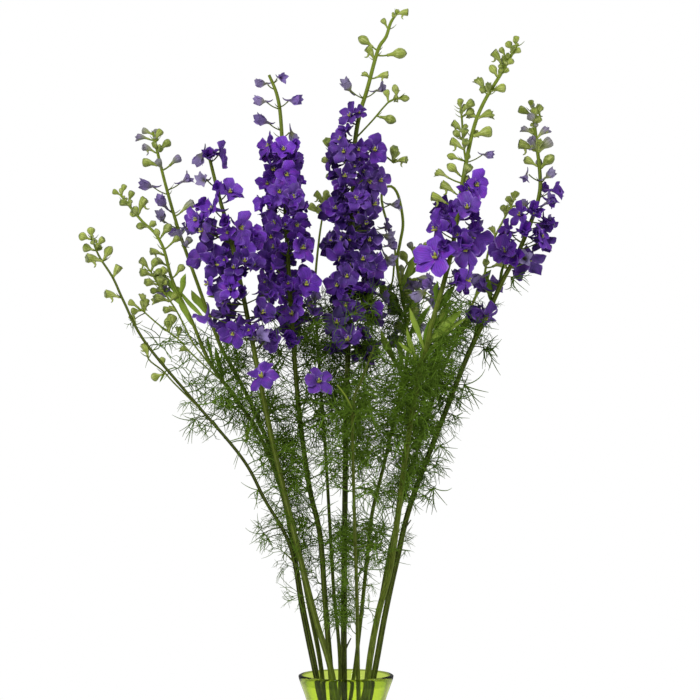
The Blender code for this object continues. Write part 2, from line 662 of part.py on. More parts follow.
def water_profile():
    """The water's outline: the hollow, drawn in by the gap, up to the water level."""
    gap = GAP / MM
    level = WATER_LEVEL / MM
    wall = [(radius - gap, height + gap) for radius, height in VASE_INSIDE if height < level]
    (low_radius, low), (high_radius, high) = [
        pair for pair in zip(VASE_INSIDE, VASE_INSIDE[1:]) if pair[0][1] <= level < pair[1][1]][0]
    share = (level - low) / (high - low)
    wall.append((low_radius + (high_radius - low_radius) * share - gap, level))
    floor = VASE_FLOOR / MM + gap
    return [(0.0, level)] + wall[::-1] + [(0.0, floor)]


def main():
    for old in list(bpy.data.objects):
        bpy.data.objects.remove(old)
    bouquet = bpy.data.collections.new("Larkspur bouquet in a vase")
    bpy.context.scene.collection.children.link(bouquet)
    green = material("stem", (0.10, 0.17, 0.02), 0.5)
    violet = material("petal", (0.10, 0.02, 0.34), 0.55)
    glass = material("glass", (0.35, 0.62, 0.03), 0.05, 0.45, 0.8)
    clear = material("water", (0.62, 0.78, 0.45), 0.03, 0.4, 1.0)

    hollow = [(0.0, VASE_FLOOR / MM)] + list(VASE_INSIDE)
    turned("vase", hollow + list(VASE_OUTSIDE) + [(0.0, 0.0)], bouquet, glass)

    plan = layout()
    water = turned("water_turned", water_profile(), bouquet, clear)
    bpy.context.view_layer.update()
    graph = bpy.context.evaluated_depsgraph_get()
    solid = bpy.data.meshes.new_from_object(water.evaluated_get(graph))
    bpy.data.objects.remove(water)
    water = bpy.data.objects.new("water", solid)
    holes = [tube_piece("hole_" + name, *plan[name]["lines"][0], GAP, 1) for name in STEMS]
    for hole in holes:
        for vert in hole.data.vertices:
            if vert.co.z < VASE_FLOOR + 2 * GAP:
                vert.co.z -= HOLE_REACH
    join("water", water, holes, "DIFFERENCE", "EXACT", bouquet)
    name_as(water, "water", clear)

    for name, parts in plan.items():
        pieces = []
        for index, (points, radii) in enumerate(parts["lines"][1:]):
            pieces.append(tube_piece(f"shoot_{index}", points, radii, 0, 0))
        for index, (foot, base, tip) in enumerate(parts["buds"]):
            pieces.append(bud_piece("bud", foot, base, tip, index * BUD_SPIN))
        for leaf in parts["leaves"]:
            pieces.append(leaf_piece("leaf", leaf))
        stem = tube_piece("stem", *parts["lines"][0], 0, 1)
        join("stem_" + name, stem, pieces, "UNION", "EXACT", bouquet)
        name_as(stem, "stem_" + name, green)
        if name in FLORETS:
            head = flower_head(name, parts, bouquet)
            name_as(head, "flowers_" + name, violet)


def flower_head(name, parts, home):
    """A slim core round the stem with the florets standing out of it."""
    line = parts["lines"][0]
    high = place(350, CORES[name][0], 0).z
    low = place(350, CORES[name][1], 0).z
    levels = [high] + [p.z for p in line[0] if low + CORE_MARGIN < p.z < high - CORE_MARGIN] + [low]
    stations = [height_on(line, level) for level in levels]
    points = [spot for spot, _ in stations]
    radii = [radius + GAP + CORE_WALL for _, radius in stations]
    tip = line[0][0]
    if high > tip.z:
        points[0] = tip + (tip - line[0][1]).normalized() * CORE_CAP
    core = tube_piece("core", points, radii, 0, 1)
    pieces = []
    for index, (centre, facing, size, foot) in enumerate(parts["florets"]):
        pieces.append(floret_piece("floret", centre, facing, size, foot, index * FLORET_SPIN))
    join("flowers_" + name, core, pieces, "UNION", "MANIFOLD", home)
    stem_points = [tip + (tip - line[0][1]).normalized() * GAP] + line[0][1:]
    cutters = [tube_piece("bore", stem_points, line[1], GAP, 1)]
    for index, (points, radii) in enumerate(parts["lines"][1:]):
        cutters.append(tube_piece(f"bore_{index}", points, radii, GAP, 0))
    for foot, base, tip in parts["buds"]:
        if low < foot.z < high:
            cutters.append(tube_piece("bud_bore", [foot, base], [STALK_RADIUS] * 2, 2 * GAP, 0))
    return join("flowers_" + name, core, cutters, "DIFFERENCE", "MANIFOLD", home)


main()
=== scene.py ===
"""Larkspur bouquet in a green glass vase, dressed for close views.

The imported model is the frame, and every piece stands where its node stands. The
stems' courses and the places of the florets, buds and leaves are drawn in one
front view, as they are for the solids, and the fine pieces are grown along them.
"""
import json
import math
import random

import bmesh
import bpy
import numpy as np
from mathutils import Matrix, Quaternion, Vector

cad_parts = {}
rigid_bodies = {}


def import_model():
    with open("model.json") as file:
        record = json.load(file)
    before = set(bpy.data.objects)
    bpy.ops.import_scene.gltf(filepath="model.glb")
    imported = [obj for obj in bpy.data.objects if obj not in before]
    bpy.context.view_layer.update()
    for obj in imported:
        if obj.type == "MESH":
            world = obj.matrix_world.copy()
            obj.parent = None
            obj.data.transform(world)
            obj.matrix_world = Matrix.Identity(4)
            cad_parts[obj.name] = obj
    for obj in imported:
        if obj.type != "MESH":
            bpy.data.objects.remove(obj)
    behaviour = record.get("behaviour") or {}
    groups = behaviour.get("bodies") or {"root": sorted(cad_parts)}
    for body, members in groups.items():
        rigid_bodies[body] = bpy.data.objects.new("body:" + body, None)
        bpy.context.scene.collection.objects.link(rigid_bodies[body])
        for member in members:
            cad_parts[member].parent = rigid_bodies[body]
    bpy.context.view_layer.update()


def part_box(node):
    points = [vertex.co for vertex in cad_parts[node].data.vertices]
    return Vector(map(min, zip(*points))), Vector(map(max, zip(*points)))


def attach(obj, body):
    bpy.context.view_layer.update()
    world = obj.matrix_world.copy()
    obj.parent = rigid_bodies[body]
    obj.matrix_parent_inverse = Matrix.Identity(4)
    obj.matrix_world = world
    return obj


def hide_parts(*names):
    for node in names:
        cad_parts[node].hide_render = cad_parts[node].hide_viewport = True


bl_info = {
    "name": "Larkspur bouquet",
    "version": (1, 0, 0),
    "blender": (4, 5, 0),
    "location": "View3D > Sidebar > Bouquet",
    "description": "Grows a bouquet of larkspur spikes in a green glass vase",
    "category": "Add Mesh",
}

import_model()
VASE_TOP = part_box("vase")[1].z
WATER_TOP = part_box("water")[1].z
UP = Vector((0, 0, 1))

# Driving dimensions, shared with the solids
MM = 0.001
VASE_FLOOR = 0.012
GAP = 0.0003
SPIRAL_TURN = math.radians(100)
SPIRAL_SHRINK = 0.86
FLORET_RADIUS = 0.0145
ROOT_DEPTH = 0.002
ROOT_SHIFT = 0.0002
LEAF_LENGTH = 0.034
THREAD_RADIUS = 0.0008
LEAF_SPACING = 0.044
GOLDEN_ANGLE = math.radians(137.5)
BACK_FROM = -12
LEAF_FAN = (-66, -34, 0, 34, 66)

# The layout is drawn in a square front view, 700 mm wide, seen from this far
VIEW_DISTANCE = 2700
VIEW_MIDDLE = 350
VIEW_ACROSS = 4
VIEW_HEIGHT = 545
DEPTH_SPREAD = 1.3

# Outer wall from the lip down to the foot, then the hollow from the floor up
VASE_OUTSIDE = (
    (46.4, 220.0), (47.2, 217.0), (39.6, 195.0), (37.4, 178.0),
    (48.5, 130.0), (51.0, 95.0), (47.5, 45.0), (41.0, 6.0), (38.5, 0.0),
)
VASE_INSIDE = (
    (36.0, 12.0), (43.6, 45.0), (47.4, 95.0), (45.0, 130.0),
    (34.0, 178.0), (36.2, 195.0), (44.2, 220.0),
)

# Stems from the tip down to the vase's lip: across, down and depth in mm, then radii
STEMS = {
    "01": (0.9, 2.0, (
        (91, 236, -38), (99, 256, -36), (113, 278, -35), (124, 302, -34), (145, 342, -31),
        (193, 400, -25), (242, 458, -20), (265, 500, -17), (290, 546, -14), (302, 612, -11),
        (315, 675, -8))),
    "02": (1.3, 2.2, (
        (120, 194, 30), (141, 220, 29), (153, 231, 29), (160, 241, 28), (165, 253, 27),
        (173, 282, 26), (191, 319, 23), (206, 355, 20), (216, 372, 19), (240, 404, 17),
        (262, 440, 15), (281, 490, 12), (292, 540, 9), (304, 610, 6), (317, 675, 3))),
    "03": (1.5, 2.4, (
        (153, 132, 58), (163, 175, 56), (178, 228, 52), (198, 285, 47), (220, 345, 39),
        (232, 367, 36), (254, 410, 31), (278, 470, 25), (294, 530, 20), (308, 600, 16),
        (322, 675, 13))),
    "04": (1.6, 3.1, (
        (210, 160, -50), (220, 200, -50), (228, 228, -48), (241, 285, -44), (253, 345, -38),
        (270, 430, -29), (284, 490, -24), (299, 553, -20), (316, 620, -17), (332, 675, -15))),
    "05": (1.5, 2.9, (
        (269, 75, 5), (277, 95, 5), (281, 122, 5), (284, 185, 5), (288, 260, 5),
        (292, 325, 5), (299, 410, 5), (309, 485, 4), (320, 535, 3), (325, 600, 2),
        (331, 675, 1))),
    "06": (1.3, 3.1, (
        (398, 12, 32), (391, 22, 32), (386, 37, 32), (378, 50, 32), (367, 90, 32),
        (359, 117, 32), (354, 155, 31), (352, 230, 29), (349, 320, 26), (346, 420, 19),
        (345, 500, 12), (344, 600, 4), (344, 675, -2))),
    "07": (1.5, 3.2, (
        (517, 45, -20), (502, 72, -20), (484, 102, -22), (474, 127, -24), (466, 163, -26),
        (459, 205, -28), (453, 245, -30), (444, 282, -31), (432, 323, -31), (426, 350, -30),
        (420, 370, -29), (411, 420, -26), (403, 475, -24), (398, 515, -22), (390, 570, -18),
        (378, 615, -15), (368, 675, -12))),
    "08": (1.6, 3.0, (
        (533, 110, 25), (536, 138, 25), (540, 175, 25), (539, 196, 25), (531, 222, 25),
        (517, 255, 24), (505, 276, 23), (491, 306, 22), (468, 355, 20), (450, 400, 18),
        (412, 500, 14), (397, 560, 12), (385, 615, 10), (374, 675, 6))),
    "09": (0.9, 2.0, (
        (514, 200, 52), (505, 217, 51), (489, 250, 49), (484, 277, 48), (475, 298, 46),
        (459, 334, 43), (441, 374, 40), (430, 410, 38), (404, 495, 31), (391, 545, 28),
        (379, 610, 24), (368, 675, 21))),
    "10": (0.9, 2.0, (
        (386, 295, 62), (392, 283, 61), (394, 266, 60), (395, 250, 60), (389, 228, 62),
        (383, 208, 65), (382, 193, 69), (390, 186, 72), (398, 195, 74), (403, 222, 75),
        (400, 243, 75), (397, 262, 75), (401, 290, 74), (406, 320, 71), (407, 360, 64),
        (385, 460, 50), (372, 514, 43), (367, 560, 37), (354, 675, 24))),
    "11": (0.9, 1.9, (
        (325, 202, 78), (319, 240, 76), (315, 290, 71), (318, 350, 64), (326, 460, 48),
        (333, 580, 31), (340, 675, 23))),
    "12": (0.8, 2.1, (
        (375, 345, -60), (362, 380, -57), (353, 408, -54), (354, 500, -40), (357, 600, -26),
        (358, 675, -16))),
}

# Side shoots: the stem that carries them, then points from the tip down to inside that stem
SHOOTS = (
    ("01", 0.8, ((147, 355, -32), (150, 361, -32), (163, 371, -30), (173, 382, -29),
                 (187, 396, -27), (203, 412, -24))),
    ("02", 0.9, ((150, 270, 20), (159, 286, 21), (168, 298, 21), (176, 310, 21), (184, 325, 21),
                 (193, 343, 20), (206, 360, 20), (218, 376, 19))),
    ("02", 0.8, ((141, 309, 16), (152, 319, 16), (163, 328, 17), (178, 339, 17), (190, 352, 18),
                 (207, 368, 18), (223, 382, 18))),
    ("06", 0.9, ((398, 98, 26), (390, 101, 26), (383, 108, 27), (372, 121, 29), (356, 138, 31))),
    ("06", 0.9, ((394, 163, 46), (383, 156, 48), (374, 166, 44), (354, 190, 30))),
    ("06", 0.9, ((330, 150, 52), (336, 166, 50), (339, 185, 46), (352, 218, 29))),
    ("07", 1.1, ((460, 102, -20), (462, 120, -22), (463, 140, -24), (466, 163, -26))),
    ("10", 0.8, ((424, 250, 84), (414, 257, 82), (405, 268, 79), (400, 285, 74))),
    ("12", 0.8, ((337, 385, -60), (345, 395, -57), (353, 410, -54))),
)

# Green buds: stem, across, down, depth from the stem and length in mm
BUDS = (
    ("01", 92, 233, 1, 8), ("01", 84, 239, -3, 8), ("01", 88, 250, 2, 8), ("01", 101, 243, -2, 8),
    ("01", 95, 262, -3, 12), ("01", 108, 254, 3, 11), ("01", 116, 272, 2, 10),
    ("01", 112, 298, -2, 10), ("01", 145, 351, -2, 11), ("01", 162, 363, 3, 8),
    ("01", 157, 377, -3, 8), ("01", 133, 322, 3, 9),
    ("02", 117, 195, 0, 8), ("02", 124, 190, 2, 7), ("02", 131, 197, -2, 8),
    ("02", 125, 206, -3, 9), ("02", 144, 207, 2, 11), ("02", 135, 216, 3, 9),
    ("02", 143, 229, -3, 10), ("02", 167, 231, 4, 11), ("02", 175, 242, 5, 8),
    ("02", 156, 254, -3, 9), ("02", 160, 264, -5, 9), ("02", 181, 272, 5, 9),
    ("02", 177, 292, 7, 9), ("02", 163, 275, -9, 10),
    ("02", 144, 265, -10, 9), ("02", 155, 265, -12, 10), ("02", 146, 276, -12, 10),
    ("02", 151, 285, -13, 10), ("02", 162, 284, -10, 10), ("02", 156, 292, -8, 8),
    ("02", 161, 303, -9, 13), ("02", 169, 311, -9, 9), ("02", 171, 324, -8, 13),
    ("02", 178, 334, -6, 12), ("02", 186, 352, -4, 11),
    ("02", 133, 305, -9, 8), ("02", 141, 300, -9, 9), ("02", 147, 305, -10, 8),
    ("02", 136, 312, -8, 7),
    ("03", 142, 139, -2, 10), ("03", 147, 133, 2, 8), ("03", 159, 136, 0, 9),
    ("03", 165, 146, 2, 10), ("03", 148, 151, -2, 9), ("03", 150, 165, 2, 11),
    ("03", 176, 163, -2, 10), ("03", 188, 209, 2, 11), ("03", 188, 244, 2, 10),
    ("03", 199, 262, 4, 10),
    ("06", 402, 15, 0, 9), ("06", 384, 24, 0, 7), ("06", 365, 43, 0, 12),
    ("06", 369, 55, 0, 10), ("06", 397, 57, 0, 14), ("06", 382, 78, 3, 9),
    ("06", 396, 91, -5, 9), ("06", 403, 101, -6, 9), ("06", 386, 96, -8, 8),
    ("06", 387, 121, -6, 12), ("06", 395, 155, 14, 11), ("06", 401, 163, 15, 9),
    ("06", 328, 147, 20, 11), ("06", 327, 163, 20, 8), ("06", 331, 180, 18, 9),
    ("07", 517, 42, 0, 8), ("07", 509, 46, 2, 7), ("07", 516, 53, 0, 8), ("07", 502, 53, 3, 7),
    ("07", 496, 59, 0, 10), ("07", 509, 64, -2, 8), ("07", 494, 72, 2, 10),
    ("07", 504, 73, 2, 8), ("07", 479, 86, 0, 11), ("07", 498, 91, -2, 11),
    ("07", 461, 105, 0, 9), ("07", 469, 107, -3, 10), ("07", 486, 118, 0, 12),
    ("07", 456, 129, 2, 9), ("07", 483, 135, -2, 13), ("07", 469, 113, 3, 8),
    ("07", 456, 147, 2, 10), ("07", 457, 136, -4, 9), ("07", 441, 176, 0, 10),
    ("07", 452, 171, -4, 11), ("07", 447, 190, 2, 11), ("07", 438, 201, 0, 11),
    ("07", 453, 159, 3, 9),
    ("08", 532, 105, 0, 7), ("08", 525, 113, 0, 10), ("08", 539, 114, 1, 10),
    ("08", 531, 119, -4, 8), ("08", 526, 132, 0, 9), ("08", 544, 134, 0, 11),
    ("08", 526, 149, 0, 12), ("08", 546, 148, 0, 13), ("08", 530, 164, -2, 10),
    ("08", 549, 164, 0, 13), ("08", 537, 122, 3, 8),
    ("09", 515, 197, 0, 9), ("09", 509, 202, 3, 8), ("09", 503, 211, -2, 8),
    ("09", 519, 207, 2, 8), ("09", 493, 232, 0, 9), ("09", 500, 267, 8, 12),
    ("11", 318, 199, 0, 9), ("11", 325, 196, 2, 9), ("11", 332, 202, -2, 9),
    ("11", 314, 211, 2, 10), ("11", 332, 214, 2, 10), ("11", 322, 210, -5, 9),
    ("10", 426, 248, 12, 8), ("10", 411, 248, 10, 8), ("10", 404, 259, 9, 12),
    ("10", 414, 265, 6, 11), ("10", 403, 272, 4, 12), ("10", 420, 281, 6, 10),
    ("10", 418, 298, 4, 13), ("10", 396, 314, -3, 13), ("10", 414, 318, 5, 13),
    ("10", 400, 330, -3, 11), ("10", 413, 333, 6, 10),
)

# Open florets: across, down, depth from the stem in mm and size
FLORETS = {
    "03": ((152, 187, -3, 0.7), (183, 182, -2, 0.65), (165, 207, -7, 0.7), (163, 221, -5, 0.7),
           (181, 241, -3, 0.75)),
    "04": ((203, 154, 8, 0.75), (219, 155, -6, 0.85), (206, 181, -4, 0.7), (229, 192, -10, 0.85),
           (214, 210, -20, 1.05), (197, 219, -8, 0.85), (203, 230, -17, 0.9), (239, 227, -18, 1.0),
           (216, 264, -22, 1.1), (200, 258, -10, 0.85), (209, 283, -16, 0.95), (226, 291, -20, 0.9),
           (252, 266, -10, 0.9), (243, 249, -16, 0.8), (208, 316, -4, 0.95), (261, 313, -6, 0.95),
           (233, 332, -12, 0.9), (256, 339, -10, 0.75), (262, 377, -24, 1.05)),
    "05": ((266, 84, -2, 0.55), (279, 78, 2, 0.5), (265, 102, -2, 0.6), (290, 101, 0, 0.65),
           (267, 123, -4, 0.7), (291, 132, 4, 0.65), (270, 146, -10, 0.85), (283, 150, -18, 0.85),
           (292, 158, -6, 0.85), (272, 167, -18, 0.9), (286, 173, -20, 0.9), (294, 178, -8, 0.85),
           (268, 184, -8, 0.8), (279, 191, -20, 0.85), (292, 197, -17, 0.9), (266, 202, -8, 0.8),
           (297, 207, -6, 0.8), (272, 212, -17, 0.85), (275, 222, -20, 0.85), (296, 223, -13, 0.9),
           (271, 236, -16, 0.85), (276, 247, -20, 0.85), (301, 248, -12, 1.0), (272, 258, -16, 0.85),
           (275, 269, -20, 0.85), (268, 281, -12, 0.9), (280, 293, -18, 0.9), (305, 284, -12, 1.05),
           (293, 315, -16, 1.0), (285, 337, -10, 0.8), (318, 382, -18, 1.0)),
    "06": ((350, 91, -2, 0.7), (377, 91, -3, 0.6), (351, 116, -8, 0.85), (342, 140, -8, 0.9),
           (344, 151, -18, 0.9), (373, 150, -12, 1.0), (341, 160, -12, 0.8), (343, 176, -18, 0.9),
           (368, 180, -19, 0.9), (379, 180, -6, 0.9), (342, 193, -12, 0.8), (357, 200, -21, 0.9),
           (373, 204, -12, 0.9), (336, 210, -6, 0.95), (345, 218, -20, 0.9), (366, 220, -20, 0.9),
           (334, 242, -6, 1.0), (344, 238, -22, 0.9), (369, 238, -15, 0.95), (341, 257, -14, 0.95),
           (362, 259, -21, 0.95), (372, 266, -12, 1.0), (347, 275, -19, 0.9), (338, 284, -10, 0.9),
           (355, 291, -17, 0.95), (391, 205, 13, 0.65), (384, 236, 10, 0.7), (386, 257, 8, 0.75),
           (371, 306, -8, 0.8), (337, 322, -10, 1.0), (348, 341, -16, 1.1), (366, 357, -4, 0.8)),
    "07": ((484, 155, 0, 0.5), (475, 184, -8, 0.95), (467, 208, -18, 1.0), (472, 226, 6, 0.7),
           (437, 229, -12, 1.1), (467, 248, -17, 1.1), (436, 257, -20, 1.3), (466, 279, -8, 1.0),
           (424, 292, 4, 0.7)),
    "08": ((527, 174, -4, 0.5), (546, 178, -5, 0.6), (552, 191, 0, 0.8), (546, 204, -6, 0.7),
           (521, 215, -12, 0.85), (509, 233, -12, 0.85), (505, 252, -15, 1.1), (540, 238, -6, 0.95),
           (525, 259, -8, 0.75), (483, 277, -4, 0.7), (485, 316, -10, 1.0)),
}

# Thread leaves grow on this part of each stem, in mm down
LEAFY = {"01": (500, 560), "02": (380, 560), "03": (345, 560), "04": (400, 600),
         "05": (405, 455), "06": (375, 450), "07": (320, 500), "08": (335, 480),
         "09": (300, 560), "10": (310, 560), "11": (290, 445), "12": (395, 600)}


def place(across, down, depth):
    """Return the point that a front view shows at across and down, at the given depth."""
    reach = 1 + depth / VIEW_DISTANCE
    x = VIEW_ACROSS + (across - VIEW_MIDDLE) * reach
    z = VIEW_HEIGHT + (VIEW_MIDDLE - down) * reach
    return Vector((x, depth, z)) * MM


def spread(path):
    """Points of a path, with the bouquet's depth drawn out."""
    return [place(across, down, depth * DEPTH_SPREAD) for across, down, depth in path]


def stem_line(name):
    """Points and radii of a stem from its tip to its foot on the vase's floor."""
    tip_radius, foot_radius, path = STEMS[name]
    points = spread(path)
    radii = []
    for index in range(len(points)):
        share = index / (len(points) - 1)
        radii.append((tip_radius + (foot_radius - tip_radius) * share ** 0.8) * MM)
    lip = points[-1].copy()
    turn = Matrix.Rotation(SPIRAL_TURN, 2)
    foot = turn @ Vector((lip.x, lip.y)) * SPIRAL_SHRINK
    top = Vector((foot.x, foot.y, VASE_FLOOR + 0.010))
    points.append(lip.lerp(top, 0.5))
    points.append(top)
    points.append(Vector((foot.x, foot.y, VASE_FLOOR + GAP)))
    radii.extend([foot_radius * MM] * 3)
    return points, radii


def height_on(line, down_z):
    """Point and radius where a stem's line passes a height."""
    points, radii = line
    for index in range(len(points) - 1):
        upper, lower = points[index], points[index + 1]
        if upper.z >= down_z > lower.z:
            share = (upper.z - down_z) / (upper.z - lower.z)
            radius = radii[index] + (radii[index + 1] - radii[index]) * share
            return upper.lerp(lower, share), radius
    return (points[0].copy(), radii[0]) if down_z > points[0].z else (points[-1].copy(), radii[-1])


def nearest_on(lines, spot):
    """Point on any of the lines that is nearest to a spot a little below the given one."""
    best = None
    for points, radii in lines:
        for index in range(len(points) - 1):
            start, end = points[index], points[index + 1]
            along = end - start
            least = ROOT_DEPTH / along.length if index == 0 else 0.0
            share = max(least, min(1.0, (spot - start).dot(along) / along.length_squared))
            foot = start + along * share
            gap = (foot - spot).length
            if best is None or gap < best[0]:
                best = (gap, foot)
    return best[1]


class Room:
    """Keeps a list of the slim shapes already placed, to keep new ones clear of them."""

    def __init__(self):
        self.starts = []
        self.ends = []
        self.radii = []
        self.owners = []

    def add(self, owner, start, end, radius):
        self.starts.append(tuple(start))
        self.ends.append(tuple(end))
        self.radii.append(radius)
        self.owners.append(owner)

    def freeze(self):
        self.starts_array = np.array(self.starts)
        self.along_array = np.array(self.ends) - self.starts_array
        self.length_array = np.maximum((self.along_array ** 2).sum(1), 1e-12)
        self.radii_array = np.array(self.radii)
        self.owner_array = np.array(self.owners)

    def clear(self, owner, start, end, radius, gap):
        others = self.owner_array != owner
        base = self.starts_array[others]
        along = self.along_array[others]
        length = self.length_array[others]
        limit = self.radii_array[others] + radius + gap
        for step in range(9):
            spot = np.array(start.lerp(end, step / 8))
            share = np.clip(((spot - base) * along).sum(1) / length, 0, 1)
            apart = np.linalg.norm(base + along * share[:, None] - spot, axis=1)
            if (apart < limit).any():
                return False
        return True


def floret_frames(name, line):
    """Centre, facing direction, size and foot on the stem of each floret of a head."""
    frames = []
    for across, down, out, size in FLORETS[name]:
        level = place(across, down, 0).z
        axis, _ = height_on(line, level)
        depth = axis.y / MM
        centre = place(across, down, depth + out)
        frames.append((centre, axis, size))
        if out <= BACK_FROM and across % 2:
            back = place(2 * axis_across(axis) - across, down + 8, depth - out * 0.9)
            frames.append((back, axis, size))
    result = []
    for centre, axis, size in frames:
        away = centre - axis
        facing = Vector((away.x * 0.75, away.y, away.z * 0.4 + 0.0015)).normalized()
        foot = height_on(line, centre.z - 0.3 * away.length - 0.003)[0]
        result.append((centre, facing, size, foot))
    return result


def axis_across(point):
    """Where the front view shows a point, in mm across."""
    reach = 1 + point.y / MM / VIEW_DISTANCE
    return VIEW_MIDDLE + (point.x / MM - VIEW_ACROSS) / reach


def bud_frames(name, lines):
    """Foot on the stem, base and tip of each green bud of a stem."""
    main = lines[0]
    result = []
    for stem, across, down, out, length in BUDS:
        if stem != name:
            continue
        axis, _ = height_on(main, place(across, down, 0).z)
        centre = place(across, down, axis.y / MM + out)
        foot = nearest_on(lines, centre - Vector((0, 0, 0.004)))
        away = centre - foot
        if away.length < 0.003:
            away = Vector((0, 0, 0.003))
        foot = foot + Vector((math.sin(across), math.cos(down), 0)) * ROOT_SHIFT
        heading = (away.normalized() + Vector((0, 0, 0.35))).normalized()
        half = heading * (length * MM / 2)
        result.append((foot, centre - half, centre + half))
    return result


def leaf_frame(start, heading, across, length):
    """Start, hub and thread tips of one fan-shaped leaf."""
    hub = start + heading * (length * 0.36)
    normal = heading.cross(across)
    tips = []
    for index, angle in enumerate(LEAF_FAN):
        turn = math.radians(angle)
        way = heading * math.cos(turn) + across * math.sin(turn)
        way += normal * (0.22 if index % 2 else -0.12)
        tips.append(hub + way.normalized() * (length * (0.66 - 0.0015 * abs(angle))))
    return start, hub, tips, heading, across


def grow_leaves(name, line, room, rng):
    """Thread leaves up a stem, each turned until it is clear of the other stems."""
    top, bottom = LEAFY[name]
    high = place(350, top, 0).z
    low = place(350, bottom, 0).z
    count = int((high - low) / LEAF_SPACING) + 1
    leaves = []
    for index in range(count):
        level = high - (index + rng.random() * 0.5) * LEAF_SPACING
        start, radius = height_on(line, level)
        upper = height_on(line, level + 0.01)[0]
        trunk = (upper - start).normalized()
        length = LEAF_LENGTH * rng.uniform(0.8, 1.15)
        first = index * GOLDEN_ANGLE + rng.random()
        for attempt in range(24):
            angle = first + attempt * math.radians(31)
            out = Vector((math.cos(angle), math.sin(angle), 0))
            out = (out - trunk * out.dot(trunk)).normalized()
            heading = (out + trunk * 0.75).normalized()
            across = heading.cross(trunk).normalized()
            leaf = leaf_frame(start, heading, across, length)
            threads = [(start, leaf[1])] + [(leaf[1], tip) for tip in leaf[2]]
            if all(room.clear(name, a, b, THREAD_RADIUS, 0.0008) for a, b in threads):
                for a, b in threads:
                    room.add(name, a, b, THREAD_RADIUS)
                room.freeze()
                leaves.append(leaf)
                break
    return leaves


def layout():
    """Everything's place: lines of the stems and shoots, florets, buds and leaves."""
    room = Room()
    plan = {}
    for name in STEMS:
        line = stem_line(name)
        lines = [line]
        for stem, radius, path in SHOOTS:
            if stem == name:
                lines.append((spread(path), [radius * MM] * len(path)))
        buds = bud_frames(name, lines)
        florets = floret_frames(name, line) if name in FLORETS else []
        plan[name] = {"lines": lines, "buds": buds, "florets": florets}
        for points, radii in lines:
            for index in range(len(points) - 1):
                room.add(name, points[index], points[index + 1], radii[index + 1])
        for foot, base, tip in buds:
            room.add(name, foot, base, THREAD_RADIUS)
            room.add(name, base, tip, 0.003)
        for centre, facing, size, foot in florets:
            head = "head" + name
            room.add(head, foot, centre, 0.001)
            reach = FLORET_RADIUS * size
            across = facing.orthogonal().normalized()
            for turn in range(4):
                tip = Quaternion(facing, turn * math.pi / 4) @ across * reach * 0.8
                room.add(head, centre - tip, centre + tip, 0.0045)
    room.freeze()
    rng = random.Random(11)
    for name in STEMS:
        plan[name]["leaves"] = grow_leaves(name, plan[name]["lines"][0], room, rng)
    return plan


# Where the foliage is thickest: middle across, down and deep, half width and half
# height in mm, number of leaves, and how bright they are, which paints light and shade on them
BUSHES = (
    (391, 436, -12, 37, 56, 84, 0.44), (356, 420, -20, 24, 34, 30, 0.36),
    (422, 396, -30, 28, 38, 36, 0.66), (444, 346, -14, 26, 32, 30, 0.7),
    (282, 434, -10, 12, 42, 24, 0.28), (334, 400, 0, 16, 30, 20, 0.36),
    (246, 400, 0, 16, 26, 14, 0.28), (302, 452, -6, 11, 28, 32, 0.34),
    (285, 508, -8, 10, 20, 12, 0.08), (340, 594, 0, 12, 22, 30, 0.05),
    (348, 536, -6, 14, 22, 24, 0.16), (306, 520, -4, 14, 40, 20, 0.26),
    (366, 532, -6, 12, 26, 22, 0.3), (410, 468, -8, 12, 22, 16, 0.26),
    (391, 320, 64, 28, 32, 30, 1.05), (306, 322, 26, 12, 28, 24, 0.42),
    (328, 340, 62, 18, 40, 30, 0.38), (364, 366, 44, 18, 18, 16, 0.5),
    (390, 380, 0, 16, 16, 12, 0.5), (356, 404, -48, 22, 22, 12, 0.85),
    (250, 344, 20, 14, 24, 22, 0.42), (222, 366, 8, 12, 22, 10, 0.42), (203, 398, 0, 10, 8, 5, 0.1),
    (468, 328, -6, 12, 22, 8, 0.34), (412, 366, -40, 28, 22, 28, 0.85),
    (288, 390, 0, 9, 10, 13, 0.36), (348, 300, 40, 8, 12, 8, 0.5), (458, 296, -4, 12, 16, 10, 0.7),
    (391, 358, 20, 14, 18, 16, 0.62), (309, 550, -6, 7, 22, 12, 0.1), (184, 328, 26, 8, 14, 5, 0.5),
    (400, 292, 60, 26, 14, 12, 1.05), (372, 300, 34, 12, 14, 8, 0.75),
)

# How light each stem is, from its foot to its tip, on a scale from 0 to 1: partly its own colour,
# light at the young tip, and partly painted shade, darkest on the feet of the stems in the middle;
# then the shade of its shoots, how late it turns light, how far down in mm its foot's colour
# starts, and the stems of which only the shoots are light
STEM_LIGHT = {
    "01": (0.02, 0.42), "02": (0.22, 0.95), "03": (0.22, 0.80), "04": (0.26, 0.40),
    "05": (0.22, 0.60), "06": (0.00, 0.75), "07": (0.26, 0.72), "08": (0.16, 0.70),
    "09": (0.30, 1.00), "10": (0.34, 0.90), "11": (0.24, 0.80), "12": (0.14, 1.00),
}
SHOOT_SHADE = 0.8
LIGHT_RISE = 1.3
DARK_UP_TO = 430
SHOOTS_ONLY_LIGHT = ("12",)

# Small twigs and stubs that the solids leave out: stem, radius in mm, path from the tip down
TWIGS = (
    ("06", 0.9, ((351, 638, 2), (347, 646, 1), (344, 654, 0))),
    ("08", 0.8, ((411, 520, 8), (406, 527, 11))),
    ("04", 0.7, ((284, 552, -30), (290, 558, -26), (297, 566, -21))),
)
